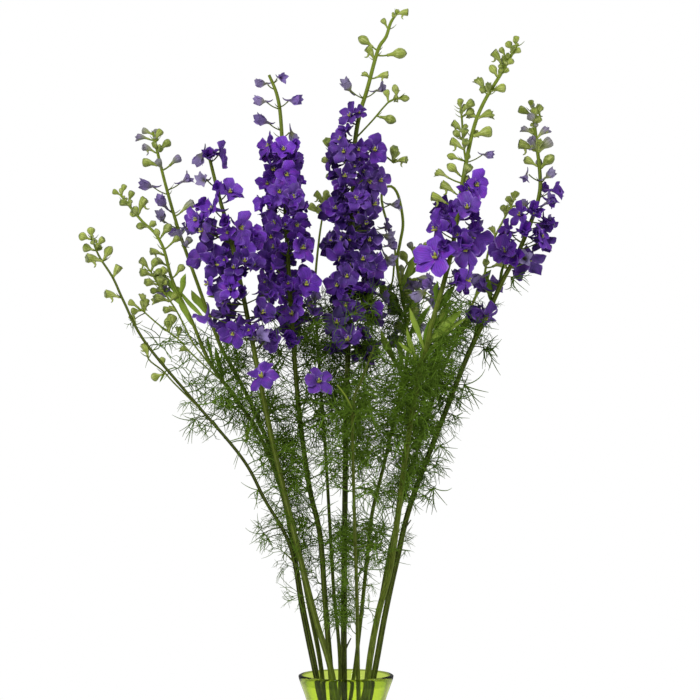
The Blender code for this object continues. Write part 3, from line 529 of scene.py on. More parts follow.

# Fans of long threads at the outer edge by stem: hub across and down, depth from the stem,
# heading in degrees (0 to the right, 90 up), length in mm and brightness, which paints light
# and shade on them
SPRAYS = {
    "08": ((511, 277, 2, -42, 26, 0.35), (486, 349, 3, -5, 33, 0.05),
           (484, 348, -4, -75, 26, 0.05), (482, 345, 2, 55, 20, 0.1), (495, 304, 3, -50, 12, 0.1),
           (471, 301, 12, 215, 24, 0.1), (464, 385, -3, -15, 34, 0.12),
           (456, 398, 3, -40, 26, 0.08), (452, 414, -2, -78, 24, 0.08),
           (440, 446, 4, -5, 24, 0.08), (436, 462, -4, -40, 24, 0.08),
           (433, 488, 4, -50, 30, 0.12), (424, 495, -4, -85, 22, 0.15), (405, 541, 5, 10, 13, 0.5),
           (405, 550, -3, -55, 14, 0.5)),
    "07": ((391, 490, 6, 250, 26, 0.1), (384, 505, -6, 265, 24, 0.2)),
    "12": ((372, 528, 6, -15, 20, 0.2), (374, 545, -4, -60, 24, 0.25), (371, 585, 4, -30, 14, 0.4),
           (352, 412, -4, 95, 20, 1.0), (349, 414, 4, 140, 18, 0.95), (356, 414, -6, 40, 18, 0.95),
           (352, 416, 6, 270, 18, 0.85)),
    "06": ((340, 523, 3, 205, 20, 0.05), (338, 532, -4, 240, 22, 0.05)),
    "01": ((262, 529, 4, 165, 20, 0.12), (264, 533, -5, 215, 24, 0.1),
           (268, 538, 0, 250, 20, 0.12), (258, 490, 3, 262, 26, 0.45), (195, 420, 3, 215, 27, 0.3),
           (205, 425, -4, 260, 20, 0.3), (190, 402, -3, 240, 20, 0.3)),
    "02": ((133, 321, -24, 260, 20, 0.5), (207, 378, 4, 200, 22, 0.12),
           (214, 388, -4, 235, 28, 0.12), (222, 396, 5, 262, 24, 0.12),
           (228, 405, -5, 240, 22, 0.15)),
    "05": ((320, 556, 4, -75, 20, 0.2),),
}

# Bracts by stem: base across and down, depth from the stem, tip across and down, brightness,
# which paints light and shade on them, and whether it is a broad one
BLADES = {
    "07": ((444, 336, 6, 453, 301, 1.0, 0), (441, 352, 8, 452, 310, 0.9, 0),
           (432, 366, 6, 446, 332, 0.8, 0), (422, 369, 6, 428, 318, 0.6, 0),
           (447, 345, 8, 460, 310, 0.92, 1), (421, 372, -4, 402, 326, 1.0, 0),
           (427, 352, -4, 412, 306, 1.0, 0), (424, 362, -6, 397, 342, 1.0, 0),
           (440, 318, 6, 452, 284, 0.6, 1), (446, 310, 4, 437, 282, 0.5, 1),
           (452, 348, 6, 466, 318, 1.0, 0)),
    "09": ((459, 338, -6, 475, 306, 1.0, 0), (452, 354, -4, 464, 322, 0.95, 0),
           (462, 340, -8, 471, 316, 0.95, 0), (478, 300, 6, 490, 270, 0.9, 1)),
    "10": ((404, 330, 4, 422, 288, 0.95, 0), (400, 328, 2, 386, 296, 0.95, 0),
           (382, 366, -30, 378, 322, 1.0, 0), (388, 362, -34, 393, 330, 1.0, 0),
           (416, 370, 5, 409, 331, 0.7, 0), (424, 340, 3, 429, 303, 0.6, 0),
           (403, 316, 10, 424, 288, 1.0, 1), (398, 320, 6, 381, 280, 1.0, 1),
           (403, 290, 6, 416, 254, 0.9, 1), (400, 285, 4, 424, 262, 0.8, 0)),
    "06": ((360, 330, 8, 370, 292, 0.95, 0),),
    "08": ((492, 304, 6, 486, 276, 0.6, 1), (470, 345, 8, 478, 318, 0.8, 0),
           (497, 292, 6, 503, 262, 0.8, 0)),
    "02": ((190, 330, 5, 178, 298, 1.0, 1), (176, 300, 5, 184, 274, 1.0, 1),
           (172, 300, 6, 159, 274, 1.0, 1), (180, 310, 6, 167, 288, 1.0, 1),
           (180, 284, 5, 202, 321, 1.0, 0), (222, 366, 6, 207, 336, 0.55, 0),
           (228, 380, -6, 217, 346, 0.45, 0), (238, 424, -10, 244, 445, 1.0, 0)),
    "03": ((200, 320, 5, 190, 292, 1.0, 1), (214, 345, 6, 219, 329, 0.9, 0)),
    "04": ((222, 298, -8, 206, 299, 0.9, 0),),
    "01": ((164, 371, 3, 160, 383, 0.75, 0),),
}

# Faded and folded florets between the heads by stem: across, down, depth from the stem,
# size, age from 0 to 1 and brightness
FADED = {
    "10": ((384, 262, 6, 0.8, 0.8, 0.5), (417, 291, 8, 0.85, 0.75, 0.4),
           (428, 300, 4, 0.8, 0.6, 0.3), (412, 304, 10, 0.75, 0.8, 0.4),
           (396, 308, -4, 0.7, 0.75, 0.4), (404, 327, 8, 0.85, 0.85, 0.5),
           (396, 342, 4, 0.75, 0.6, 0.3), (418, 324, 6, 0.8, 0.95, 0.5),
           (390, 292, 6, 0.7, 0.75, 0.4), (408, 284, 8, 0.85, 0.55, 0.5),
           (424, 280, 4, 0.8, 0.65, 0.5), (434, 294, 6, 0.8, 0.5, 0.4)),
    "06": ((371, 304, 20, 0.85, 0.15, 0.15), (378, 318, 24, 0.8, 0.15, 0.2),
           (372, 345, 20, 0.8, 0.25, 0.1), (385, 228, 20, 0.7, 0.45, 0.4),
           (389, 246, 18, 0.75, 0.5, 0.4), (373, 288, 14, 0.95, 0.1, 0.25),
           (380, 296, 18, 0.8, 0.4, 0.3), (368, 280, 24, 0.85, 0.15, 0.25),
           (346, 304, -12, 0.95, 0.05, 0.3), (354, 313, -14, 0.9, 0.05, 0.25),
           (364, 286, 6, 0.95, 0.05, 0.3)),
    "07": ((456, 275, 10, 0.8, 0.45, 0.4), (432, 288, 4, 0.85, 0.3, 0.4)),
    "08": ((546, 222, 6, 0.7, 0.7, 0.5), (526, 205, 6, 0.65, 0.75, 0.5),
           (488, 292, 8, 0.85, 0.35, 0.4), (497, 284, 6, 0.75, 0.3, 0.4),
           (484, 288, -4, 0.95, 0.1, 0.4)),
    "04": ((262, 345, 10, 0.8, 0.5, 0.25), (229, 309, 6, 0.9, 0.12, 0.25),
           (236, 300, 10, 0.85, 0.1, 0.3), (222, 314, 4, 0.85, 0.2, 0.25),
           (226, 303, -8, 0.95, 0.05, 0.4), (246, 322, -6, 0.9, 0.05, 0.35),
           (262, 334, 0, 0.9, 0.1, 0.35)),
    "05": ((303, 322, 12, 0.75, 0.55, 0.35), (312, 310, 6, 0.85, 0.12, 0.3),
           (306, 306, 4, 0.9, 0.2, 0.4), (315, 300, 8, 0.8, 0.5, 0.4)),
    "03": ((186, 228, 2, 0.75, 0.35, 0.45), (176, 236, 6, 0.75, 0.4, 0.4)),
    "02": ((166, 292, 4, 0.7, 0.7, 0.6),),
}

# Leaves, fans of threads and bracts: how many kinds, and how they are drawn
LEAF_KINDS = 12
SPRAY_KINDS = 6
BLADE_KINDS = 3
BROAD_BLADE = 2.0
THREAD_STEPS = 4
THREAD_STRAY = 1.15
THREAD_SIDES = 3
LEAF_STEP = 0.10
FAN_STEP = 0.12
HUB_SHARE = 0.33
BLADE_FACE = Vector((0.3, -1, 0.2))

# Leaves of the bushes: lengths in metres, the depth they stray in mm, where they leave their
# stem below their tip, how near a stem has to be, and how their brightness varies and how much
# of it they lose with depth, as painted shade
SHORTEST_LEAF = 0.026
LONGEST_LEAF = 0.056
LEAF_OVERSHOOT = 1.25
LEAF_CLIMB = 0.016
LEAF_START = (0.008, 0.030)
STEM_REACH = 0.075
BUSH_DEPTH = 42
BUSH_SPREAD = 0.25
FRONT_LIGHT = 1.5

# Petals, and marks on a floret's parts that their look reads
PETAL_THICK = 0.00022
PETAL_CLAW = 0.16
SHARP_ANGLE = math.radians(80)
INNER_MARK = 0.3
POD_MARK = 0.6
SPUR_MARK = 0.9

# Florets: the sizes from which they are half open and open, how full they are, the folded ones
# beside them, which only stand above a height, and how far they turn from the stem
HALF_OPEN_FROM = 0.77
OPEN_FROM = 0.84
FLORET_FULLNESS = 1.14
FILLERS = 2
LONE_BELOW = 0.53
SHARE_TURNED = 0.60
SWING_WIDE = math.radians(72)
SWING_SLIGHT = math.radians(25)

# Buds and stalks: lengths and radii in metres, and shares of them
SMALL_BUD = 0.0085
BUD_FULLNESS = 1.22
NECK_SHARE = 1.2
LEAST_STALK = 0.001
BUD_STALK = 0.0009
FLORET_STALK = 0.00065
FAN_STALK = 0.0005
BRACT_GIRTHS = (0.00055, 0.00045, 0.00015)
STALK_STEP = 0.002
STALK_SIDES = 6

# Kinds of floret: lean of the sepals at their base and at their tip in degrees, ruffle,
# how far the leans stray, half width, how pointed they are, whether the face is open, length
FLORET_KINDS = (
    (62, 92, 0.45, 7, 0.41, 0.85, True, 1.0), (50, 84, 0.60, 9, 0.44, 0.80, True, 1.0),
    (70, 118, 0.60, 10, 0.39, 0.95, True, 1.0), (46, 104, 0.80, 18, 0.37, 0.95, True, 1.0),
    (58, 80, 0.70, 16, 0.42, 0.85, True, 1.0), (30, 62, 0.55, 10, 0.38, 0.90, True, 1.0),
    (18, 44, 0.50, 10, 0.37, 0.90, False, 1.0), (8, 30, 0.35, 5, 0.33, 1.05, False, 1.25),
    (6, 58, 0.40, 8, 0.31, 1.15, False, 1.25),
)

# Kinds of bud: heights and radii of its rings, depth of its ribs and how far it bends
BUD_SHAPES = (
    ((0.0, 0.14, 0.28, 0.44, 0.62, 0.80, 0.92, 1.0, 0.95),
     (0.085, 0.085, 0.11, 0.19, 0.265, 0.300, 0.290, 0.200, 0.03), 0.24, 0.08),
    ((0.0, 0.14, 0.28, 0.46, 0.64, 0.82, 0.94, 1.0, 0.92),
     (0.085, 0.085, 0.12, 0.20, 0.255, 0.275, 0.300, 0.250, 0.03), 0.32, 0.14),
    ((0.0, 0.16, 0.30, 0.44, 0.58, 0.74, 0.88, 0.96, 1.0),
     (0.085, 0.085, 0.12, 0.22, 0.285, 0.265, 0.190, 0.090, 0.02), 0.12, 0.10),
    ((0.0, 0.20, 0.34, 0.52, 0.70, 0.86, 0.96, 1.0),
     (0.10, 0.10, 0.18, 0.32, 0.38, 0.31, 0.16, 0.03), 0.14, 0.04),
    ((0.0, 0.18, 0.38, 0.56, 0.74, 0.90, 0.98, 1.0),
     (0.10, 0.10, 0.14, 0.25, 0.31, 0.29, 0.19, 0.04), 0.22, 0.09),
    ((0.0, 0.16, 0.30, 0.46, 0.62, 0.76, 0.84, 0.88),
     (0.085, 0.080, 0.11, 0.18, 0.235, 0.245, 0.220, 0.03), 0.20, 0.12),
)

# Which kinds of floret and of bud stand where
OPEN_KINDS = (0, 1, 2, 3, 4)
HALF_OPEN_KINDS = (4, 5, 5, 6)
FOLDED_KINDS = (5, 6, 6, 3)
BELL_KINDS = (7, 8)
CLUB_BUDS = (0, 1, 2, 4, 5)
ROUND_BUDS = (3, 4)
SPUR_BUDS = (1,)
OPENING_BUDS = (5,)

# Buds crowded at the tips: how many, how far down in mm, and the share that is lilac, then
# the length of the highest one and what the lowest one has more, in mm
TIP_BUDS = {
    "01": (7, 15, 0.0), "02": (8, 16, 0.0), "03": (6, 20, 0.3), "07": (13, 26, 0.0),
    "08": (11, 20, 0.1), "09": (9, 18, 0.0), "11": (6, 14, 0.0), "06": (3, 8, 0.0),
}
TIP_BUD_LENGTH = 2.8
TIP_BUD_GAIN = 4.2

# Share of a stem's buds that have a smaller one beside them, and how far that one is turned
TWIN_SHARE = {"01": 0.2, "02": 0.5, "03": 0.6, "06": 0.3, "07": 1.0, "08": 0.7, "09": 0.5,
              "10": 0.5, "11": 0.5}
TWIN_TURN = (1.2, 2.6)

# Colours of small parts
FADED_VEIN = (0.13, 0.11, 0.2)
SEPAL_BASE = (0.24, 0.27, 0.09)
FADED_TIP = (0.07, 0.06, 0.09)
INNER_PETAL = (0.16, 0.05, 0.5)
# The inner petals' whitish edge is partly their own colour and partly a painted glint
INNER_EDGE = (0.8, 0.76, 0.9)
POD_GREEN = (0.28, 0.33, 0.03)
POD_YELLOW = (0.62, 0.6, 0.13)
SPUR_TIP = (0.05, 0.035, 0.1)
STEM_RIDGE = (0.34, 0.42, 0.1)
STEM_BLOOM = (0.16, 0.19, 0.08)
LEAF_GROOVE = (0.2, 0.3, 0.06)
BUD_SHADE = (0.14, 0.2, 0.012)
BUD_LIGHT = (0.54, 0.6, 0.2)
BUD_END = (0.07, 0.12, 0.015)
BUD_LILAC = (0.15, 0.06, 0.36)
BUD_VEIN = (0.1, 0.13, 0.02)
GLASS_CLOUD = (0.55, 0.74, 0.08)
WATER_CLOUD = (0.86, 0.95, 0.74)
FLOOR_SHADE = (0.84, 0.84, 0.84)
FLOOR_LIGHT = (0.88, 0.88, 0.88)
ROOM_LIGHT = (1.0, 1.0, 1.0)

# How bright the petals of each head are from 0 to 1, how far that varies, and the share of a
# stem's buds that turn lilac
HEAD_LIGHT = {"03": 0.46, "04": 0.46, "05": 0.60, "06": 0.25, "07": 0.60, "08": 0.50}
HEAD_SPREAD = 0.3
LILAC_STEMS = {"03": 0.5, "05": 0.8, "08": 0.4, "10": 0.6}


# Settings, which the sidebar shows

def colour_setting(name, description, default):
    """A colour that a user can change."""
    return bpy.props.FloatVectorProperty(
        name=name, description=description, default=default, subtype="COLOR", size=3, min=0, max=1)


def number_setting(name, description, default, least, unit="NONE"):
    """A number that a user can change."""
    return bpy.props.FloatProperty(
        name=name, description=description, default=default, min=least, unit=unit)


class VaseSettings(bpy.types.PropertyGroup):
    height: number_setting("Height", "Height of the vase over its foot", VASE_TOP, 0.05, "LENGTH")
    water_level: number_setting(
        "Water level", "Height of the water's surface", WATER_TOP, 0.02, "LENGTH")
    segments: bpy.props.IntProperty(
        name="Segments", description="Steps round the vase", default=96, min=16)
    glass_colour: colour_setting("Glass", "Tint of the glass", (0.72, 0.83, 0.2))
    glass_edge: colour_setting(
        "Glass edge", "Tint of the glass where it is seen along its wall", (0.3, 0.42, 0.03))
    rim_colour: colour_setting(
        "Rim", "Tint of the thick glass at the rim and foot", (0.42, 0.54, 0.07))
    water_colour: colour_setting("Water", "Tint of the water", (0.9, 0.97, 0.8))


class PlantSettings(bpy.types.PropertyGroup):
    stem_sides: bpy.props.IntProperty(
        name="Stem sides", description="Sides of a stem", default=12, min=5)
    stem_step: number_setting(
        "Stem step", "Distance between the rings of a stem", 0.004, 0.001, "LENGTH")
    thread_girth: number_setting(
        "Thread girth", "Radius of a leaf thread on a leaf one unit long", 0.0095, 0.004)
    fan_girth: number_setting(
        "Fan thread girth", "Radius of a thread of a fan one unit long", 0.021, 0.004)
    sepal_length: number_setting(
        "Sepal length", "Length of a sepal of a full-size floret", FLORET_RADIUS, 0.005, "LENGTH")
    # The dark stem colour is partly the old stems' own colour and partly painted shade on their feet
    stem_dark: colour_setting("Dark stem", "Colour of the oldest stems", (0.026, 0.034, 0.003))
    stem_light: colour_setting("Light stem", "Colour of the youngest stems", (0.28, 0.38, 0.04))
    # Leaves take painted light and shade: the dark colour is painted shade, the bright one a leaf in
    # full light, and the young one partly their own yellow-green and partly a painted highlight
    leaf_dark: colour_setting("Dark leaf", "Colour of shaded leaves", (0.02, 0.033, 0.005))
    leaf_bright: colour_setting("Bright leaf", "Colour of young leaves", (0.145, 0.27, 0.016))
    leaf_young_and_lit: colour_setting(
        "Young leaf", "Colour of the youngest leaves and bracts", (0.27, 0.38, 0.05))
    bud_green: colour_setting("Bud", "Colour of the closed buds", (0.4, 0.48, 0.08))
    petal_deep: colour_setting("Deep petal", "Darkest petal colour", (0.027, 0.007, 0.108))
    petal_bright: colour_setting("Bright petal", "Lightest petal colour", (0.225, 0.044, 0.69))
    petal_warm: colour_setting("Warm petal", "Magenta cast of some petals", (0.26, 0.022, 0.52))
    # Painted highlight: the colour of the light streaks along the edges of some petals
    petal_edge_highlight: colour_setting(
        "Petal edge", "Colour of the light edges of some petals", (0.43, 0.27, 0.78))
    petal_aged: colour_setting("Pale petal", "Colour of half-open florets", (0.36, 0.31, 0.5))


class StageSettings(bpy.types.PropertyGroup):
    floor_radius: number_setting("Floor radius", "Radius of the round floor", 1.1, 0.3, "LENGTH")
    soft_light: number_setting("Soft light", "Strength of the light from all round", 0.42, 0)
    gloss_light: number_setting(
        "Light in reflections", "Strength of the room in glossy reflections", 0.16, 0)
    key_light: number_setting("Key light", "Power of the large lamp in front", 30.0, 0, "POWER")
    side_light: number_setting("Side light", "Power of the lamp at the side", 9.0, 0, "POWER")


def put(tree, kind, inputs=None, **settings):
    """Add a node, set its settings, and link or set its inputs."""
    node = tree.nodes.new(kind)
    for key, value in settings.items():
        setattr(node, key, value)
    for key, value in (inputs or {}).items():
        if isinstance(value, bpy.types.NodeSocket):
            tree.links.new(value, node.inputs[key])
        else:
            node.inputs[key].default_value = value
    return node


def math_node(tree, operation, first, second=0.5, clamp=False):
    node = put(tree, "ShaderNodeMath", {0: first, 1: second}, operation=operation, use_clamp=clamp)
    return node.outputs[0]


def whole_colour(value):
    """A colour as a socket takes it: a link, or three numbers with full opacity."""
    return value if isinstance(value, bpy.types.NodeSocket) else (*value, 1.0)


def times(tree, first, second):
    return math_node(tree, "MULTIPLY", first, second)


def blend_colour(tree, factor, first, second):
    node = put(tree, "ShaderNodeMix",
               {0: factor, 6: whole_colour(first), 7: whole_colour(second)}, data_type="RGBA")
    return node.outputs[2]


def rescale(tree, value, low, high, new_low=0.0, new_high=1.0):
    """Map a range of a value onto another, held at the ends."""
    node = put(tree, "ShaderNodeMapRange", {0: value, 1: low, 2: high, 3: new_low, 4: new_high})
    return node.outputs[0]


# Geometry trees

def geometry_tree(name, inputs):
    tree = bpy.data.node_groups.new(name, "GeometryNodeTree")
    tree.is_modifier = True
    tree.interface.new_socket("Geometry", in_out="INPUT", socket_type="NodeSocketGeometry")
    for label, kind, value in inputs:
        socket = tree.interface.new_socket(label, in_out="INPUT", socket_type=kind)
        if value is not None:
            socket.default_value = value
    tree.interface.new_socket("Geometry", in_out="OUTPUT", socket_type="NodeSocketGeometry")
    return tree


def attribute_node(tree, name, kind):
    return put(tree, "GeometryNodeInputNamedAttribute", {"Name": name}, data_type=kind).outputs[0]


def mark_curve(tree, curve, name, measure):
    """Store how far along a curve each of its points stands."""
    spot = put(tree, "GeometryNodeSplineParameter")
    stored = put(tree, "GeometryNodeStoreNamedAttribute",
                 {"Geometry": curve, "Name": name, "Value": spot.outputs[measure]},
                 data_type="FLOAT", domain="POINT")
    return stored.outputs[0]


def tube_tree():
    """Round tubes along every path of a mesh, whose points carry their girth."""
    tree = geometry_tree("Tubes along paths", (
        ("Step", "NodeSocketFloat", 0.004), ("Sides", "NodeSocketInt", 8),
        ("Material", "NodeSocketMaterial", None)))
    start = put(tree, "NodeGroupInput")
    curve = put(tree, "GeometryNodeMeshToCurve", {"Mesh": start.outputs["Geometry"]})
    smooth = put(tree, "GeometryNodeCurveSplineType", {"Curve": curve.outputs[0]},
                 spline_type="CATMULL_ROM")
    even = put(tree, "GeometryNodeResampleCurve",
               {"Curve": smooth.outputs[0], "Length": start.outputs["Step"]}, mode="LENGTH")
    course = mark_curve(tree, even.outputs[0], "along", "Length")
    circle = put(tree, "GeometryNodeCurvePrimitiveCircle",
                 {"Resolution": start.outputs["Sides"], "Radius": 1.0})
    ring = mark_curve(tree, circle.outputs[0], "around", "Factor")
    tube = put(tree, "GeometryNodeCurveToMesh",
               {"Curve": course, "Profile Curve": ring,
                "Scale": attribute_node(tree, "girth", "FLOAT"), "Fill Caps": True})
    return finish_tree(tree, start, tube.outputs[0])


def scatter_tree():
    """Pieces of a collection set on points that carry their kind, turn and size."""
    tree = geometry_tree("Pieces on points", (
        ("Pieces", "NodeSocketCollection", None), ("Jitter", "NodeSocketFloat", 0.0),
        ("Seed", "NodeSocketInt", 1), ("Material", "NodeSocketMaterial", None)))
    start = put(tree, "NodeGroupInput")
    pieces = put(tree, "GeometryNodeCollectionInfo",
                 {"Collection": start.outputs["Pieces"], "Separate Children": True,
                  "Reset Children": True})
    turn = put(tree, "FunctionNodeEulerToRotation",
               {"Euler": attribute_node(tree, "turn", "FLOAT_VECTOR")})
    shake = put(tree, "FunctionNodeRandomValue",
                {"Min": times(tree, start.outputs["Jitter"], -1.0), "Max": start.outputs["Jitter"],
                 "Seed": start.outputs["Seed"]}, data_type="FLOAT_VECTOR")
    wobble = put(tree, "FunctionNodeEulerToRotation", {"Euler": shake.outputs["Value"]})
    both = put(tree, "FunctionNodeRotateRotation",
               {"Rotation": turn.outputs[0], "Rotate By": wobble.outputs[0]},
               rotation_space="LOCAL")
    placed = put(tree, "GeometryNodeInstanceOnPoints",
                 {"Points": start.outputs["Geometry"], "Instance": pieces.outputs[0],
                  "Pick Instance": True, "Instance Index": attribute_node(tree, "kind", "INT"),
                  "Rotation": both.outputs[0], "Scale": attribute_node(tree, "size", "FLOAT")})
    return finish_tree(tree, start, placed.outputs[0])


def finish_tree(tree, start, geometry):
    real = put(tree, "GeometryNodeRealizeInstances", {"Geometry": geometry})
    smooth = put(tree, "GeometryNodeSetShadeSmooth", {"Geometry": real.outputs[0]})
    dressed = put(tree, "GeometryNodeSetMaterial",
                  {"Geometry": smooth.outputs[0], "Material": start.outputs["Material"]})
    put(tree, "NodeGroupOutput", {"Geometry": dressed.outputs[0]})
    return tree


def settle(piece):
    """Turn a piece's modifiers into a plain mesh."""
    bpy.context.view_layer.update()
    graph = bpy.context.evaluated_depsgraph_get()
    mesh = bpy.data.meshes.new_from_object(
        piece.evaluated_get(graph), preserve_all_data_layers=True, depsgraph=graph)
    piece.modifiers.clear()
    old = piece.data
    piece.data = mesh
    mesh.name = piece.name
    bpy.data.meshes.remove(old)
    return piece


def grow(piece, tree, values):
    """Run a geometry tree on a piece and keep its result."""
    modifier = piece.modifiers.new("Grow", "NODES")
    modifier.node_group = tree
    for item in tree.interface.items_tree:
        if item.in_out == "INPUT" and item.name in values:
            modifier[item.identifier] = values[item.name]
    return settle(piece)


def tree_named(name, maker):
    return bpy.data.node_groups.get(name) or maker()


def link(piece):
    bpy.context.scene.collection.objects.link(piece)
    return piece


def piece_of(name, bm, look=None):
    """An object that holds a finished mesh."""
    mesh = bpy.data.meshes.new(name)
    bm.to_mesh(mesh)
    bm.free()
    if look:
        mesh.materials.append(look)
    return bpy.data.objects.new(name, mesh)


def mark_points(mesh, label, kind, values, field="value"):
    mesh.attributes.new(label, kind, "POINT").data.foreach_set(field, values)


def path_mesh(name, paths):
    """A mesh of open paths: each is a list of points, of radii and of shades."""
    mesh = bpy.data.meshes.new(name)
    points = []
    edges = []
    girths = []
    shades = []
    for spots, radii, tints in paths:
        first = len(points)
        points.extend(spots)
        girths.extend(radii)
        shades.extend(tints)
        edges.extend((first + i, first + i + 1) for i in range(len(spots) - 1))
    mesh.from_pydata(points, edges, [])
    mark_points(mesh, "girth", "FLOAT", girths)
    mark_points(mesh, "tint", "FLOAT", shades)
    return link(bpy.data.objects.new(name, mesh))


def tubes(name, paths, step, sides, look):
    piece = path_mesh(name, paths)
    tree = tree_named("Tubes along paths", tube_tree)
    return grow(piece, tree, {"Step": step, "Sides": sides, "Material": look})


def scatter(name, spots, kinds, jitter, look):
    """Set pieces of a collection on spots: place, turn, size, kind, tint and age."""
    mesh = bpy.data.meshes.new(name)
    mesh.from_pydata([spot[0] for spot in spots], [], [])
    turns = [part for spot in spots for part in spot[1]]
    mark_points(mesh, "turn", "FLOAT_VECTOR", turns, "vector")
    for label, kind, index in (("size", "FLOAT", 2), ("kind", "INT", 3), ("tint", "FLOAT", 4),
                               ("age", "FLOAT", 5)):
        mark_points(mesh, label, kind, [spot[index] for spot in spots])
    piece = link(bpy.data.objects.new(name, mesh))
    tree = tree_named("Pieces on points", scatter_tree)
    values = {"Pieces": kinds, "Jitter": jitter, "Seed": len(spots), "Material": look}
    return grow(piece, tree, values)


def keep_kinds(name, pieces):
    """Put the kinds of a repeated piece in a collection of their own."""
    home = bpy.data.collections.new(name)
    for index, piece in enumerate(pieces):
        for owner in list(piece.users_collection):
            owner.objects.unlink(piece)
        piece.name = f"{name} {index:02d}"
        home.objects.link(piece)
    return home


def drop_kinds(home):
    for piece in list(home.objects):
        bpy.data.objects.remove(piece)
    bpy.data.collections.remove(home)


def stand_for(piece, slot, *nodes):
    """Let a finished piece ride on the part and take the place of its nodes."""
    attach(piece, "root")
    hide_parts(*nodes)


# Shader groups and materials

def shader_group(name, inputs, outputs):
    tree = bpy.data.node_groups.new(name, "ShaderNodeTree")
    for label, kind, value in inputs:
        socket = tree.interface.new_socket(label, in_out="INPUT", socket_type=kind)
        if value is not None:
            socket.default_value = value
    for label, kind in outputs:
        tree.interface.new_socket(label, in_out="OUTPUT", socket_type=kind)
    return tree


def mottle_group():
    """Soft blotches and fine grain over a surface, for anything that grew."""
    tree = shader_group("Mottle", (
        ("Blotch scale", "NodeSocketFloat", 120.0), ("Grain scale", "NodeSocketFloat", 1400.0),
        ("Seed", "NodeSocketFloat", 0.0)),
        (("Blotch", "NodeSocketFloat"), ("Grain", "NodeSocketFloat")))
    start = put(tree, "NodeGroupInput")
    spot = object_place(tree)
    blotch = put(tree, "ShaderNodeTexNoise",
                 {"Vector": spot, "Scale": start.outputs["Blotch scale"],
                  "W": start.outputs["Seed"], "Detail": 3.0}, noise_dimensions="4D")
    grain = noise(tree, spot, start.outputs["Grain scale"])
    put(tree, "NodeGroupOutput", {"Blotch": rescale(tree, blotch.outputs["Fac"], 0.30, 0.70),
                                  "Grain": rescale(tree, grain, 0.25, 0.75)})
    return tree


def vein_group():
    """Veins that fan out along a petal or rib a bud, from its own map."""
    tree = shader_group("Veins", (
        ("Across", "NodeSocketFloat", 0.5), ("Along", "NodeSocketFloat", 0.5),
        ("Count", "NodeSocketFloat", 9.0), ("Wander", "NodeSocketFloat", 0.5)),
        (("Veins", "NodeSocketFloat"),))
    start = put(tree, "NodeGroupInput")
    spot = put(tree, "ShaderNodeCombineXYZ",
               {"X": start.outputs["Across"], "Y": start.outputs["Along"]})
    lean = times(tree, noise(tree, spot.outputs[0], 5.0), start.outputs["Wander"])
    count = times(tree, start.outputs["Across"], start.outputs["Count"])
    wave = math_node(tree, "SINE", times(tree, math_node(tree, "ADD", count, lean), math.tau))
    put(tree, "NodeGroupOutput", {"Veins": rescale(tree, wave, 0.55, 1.0)})
    return tree


def group_node(tree, name, maker, inputs=None):
    """Place a shader group, made on first use, and give its inputs their values."""
    return put(tree, "ShaderNodeGroup", inputs, node_tree=tree_named(name, maker))


def new_material(name, values):
    """A material with one Principled shader, whose plain values are set on its own sockets."""
    look = bpy.data.materials.new(name)
    look.use_nodes = True
    shader = look.node_tree.nodes["Principled BSDF"]
    for key, value in values.items():
        shader.inputs[key].default_value = value
    return look, look.node_tree, shader


def read_attribute(tree, name, output="Fac"):
    return put(tree, "ShaderNodeAttribute", attribute_name=name).outputs[output]


def own_map(tree):
    """Where a point lies across and along its petal or bud, from 0 to 1."""
    spot = put(tree, "ShaderNodeSeparateXYZ", {0: read_attribute(tree, "petal_map", "Vector")})
    return spot.outputs[0], spot.outputs[1]


def mottle(tree, blotch_scale, grain_scale):
    """Soft blotches and fine grain, from 0 to 1."""
    node = group_node(tree, "Mottle", mottle_group,
                      {"Blotch scale": blotch_scale, "Grain scale": grain_scale})
    return node.outputs["Blotch"], node.outputs["Grain"]


def vein_lines(tree, across, along, count, wander):
    node = group_node(tree, "Veins", vein_group,
                      {"Across": across, "Along": along, "Count": count, "Wander": wander})
    return node.outputs[0]


def noise(tree, spot, scale, detail=2.0):
    node = put(tree, "ShaderNodeTexNoise", {"Vector": spot, "Scale": scale, "Detail": detail})
    return node.outputs["Fac"]


def object_place(tree):
    return put(tree, "ShaderNodeTexCoord").outputs["Object"]


def dress(tree, shader, colour, grain, low, high, smooth, rough):
    """Link a look's colour, and a roughness that follows its grain or waves."""
    tree.links.new(colour, shader.inputs["Base Color"])
    tree.links.new(rescale(tree, grain, low, high, smooth, rough), shader.inputs["Roughness"])


def bump(tree, shader, height, depth, strength=1.0):
    made = put(tree, "ShaderNodeBump", {"Height": height, "Distance": depth, "Strength": strength})
    tree.links.new(made.outputs[0], shader.inputs["Normal"])


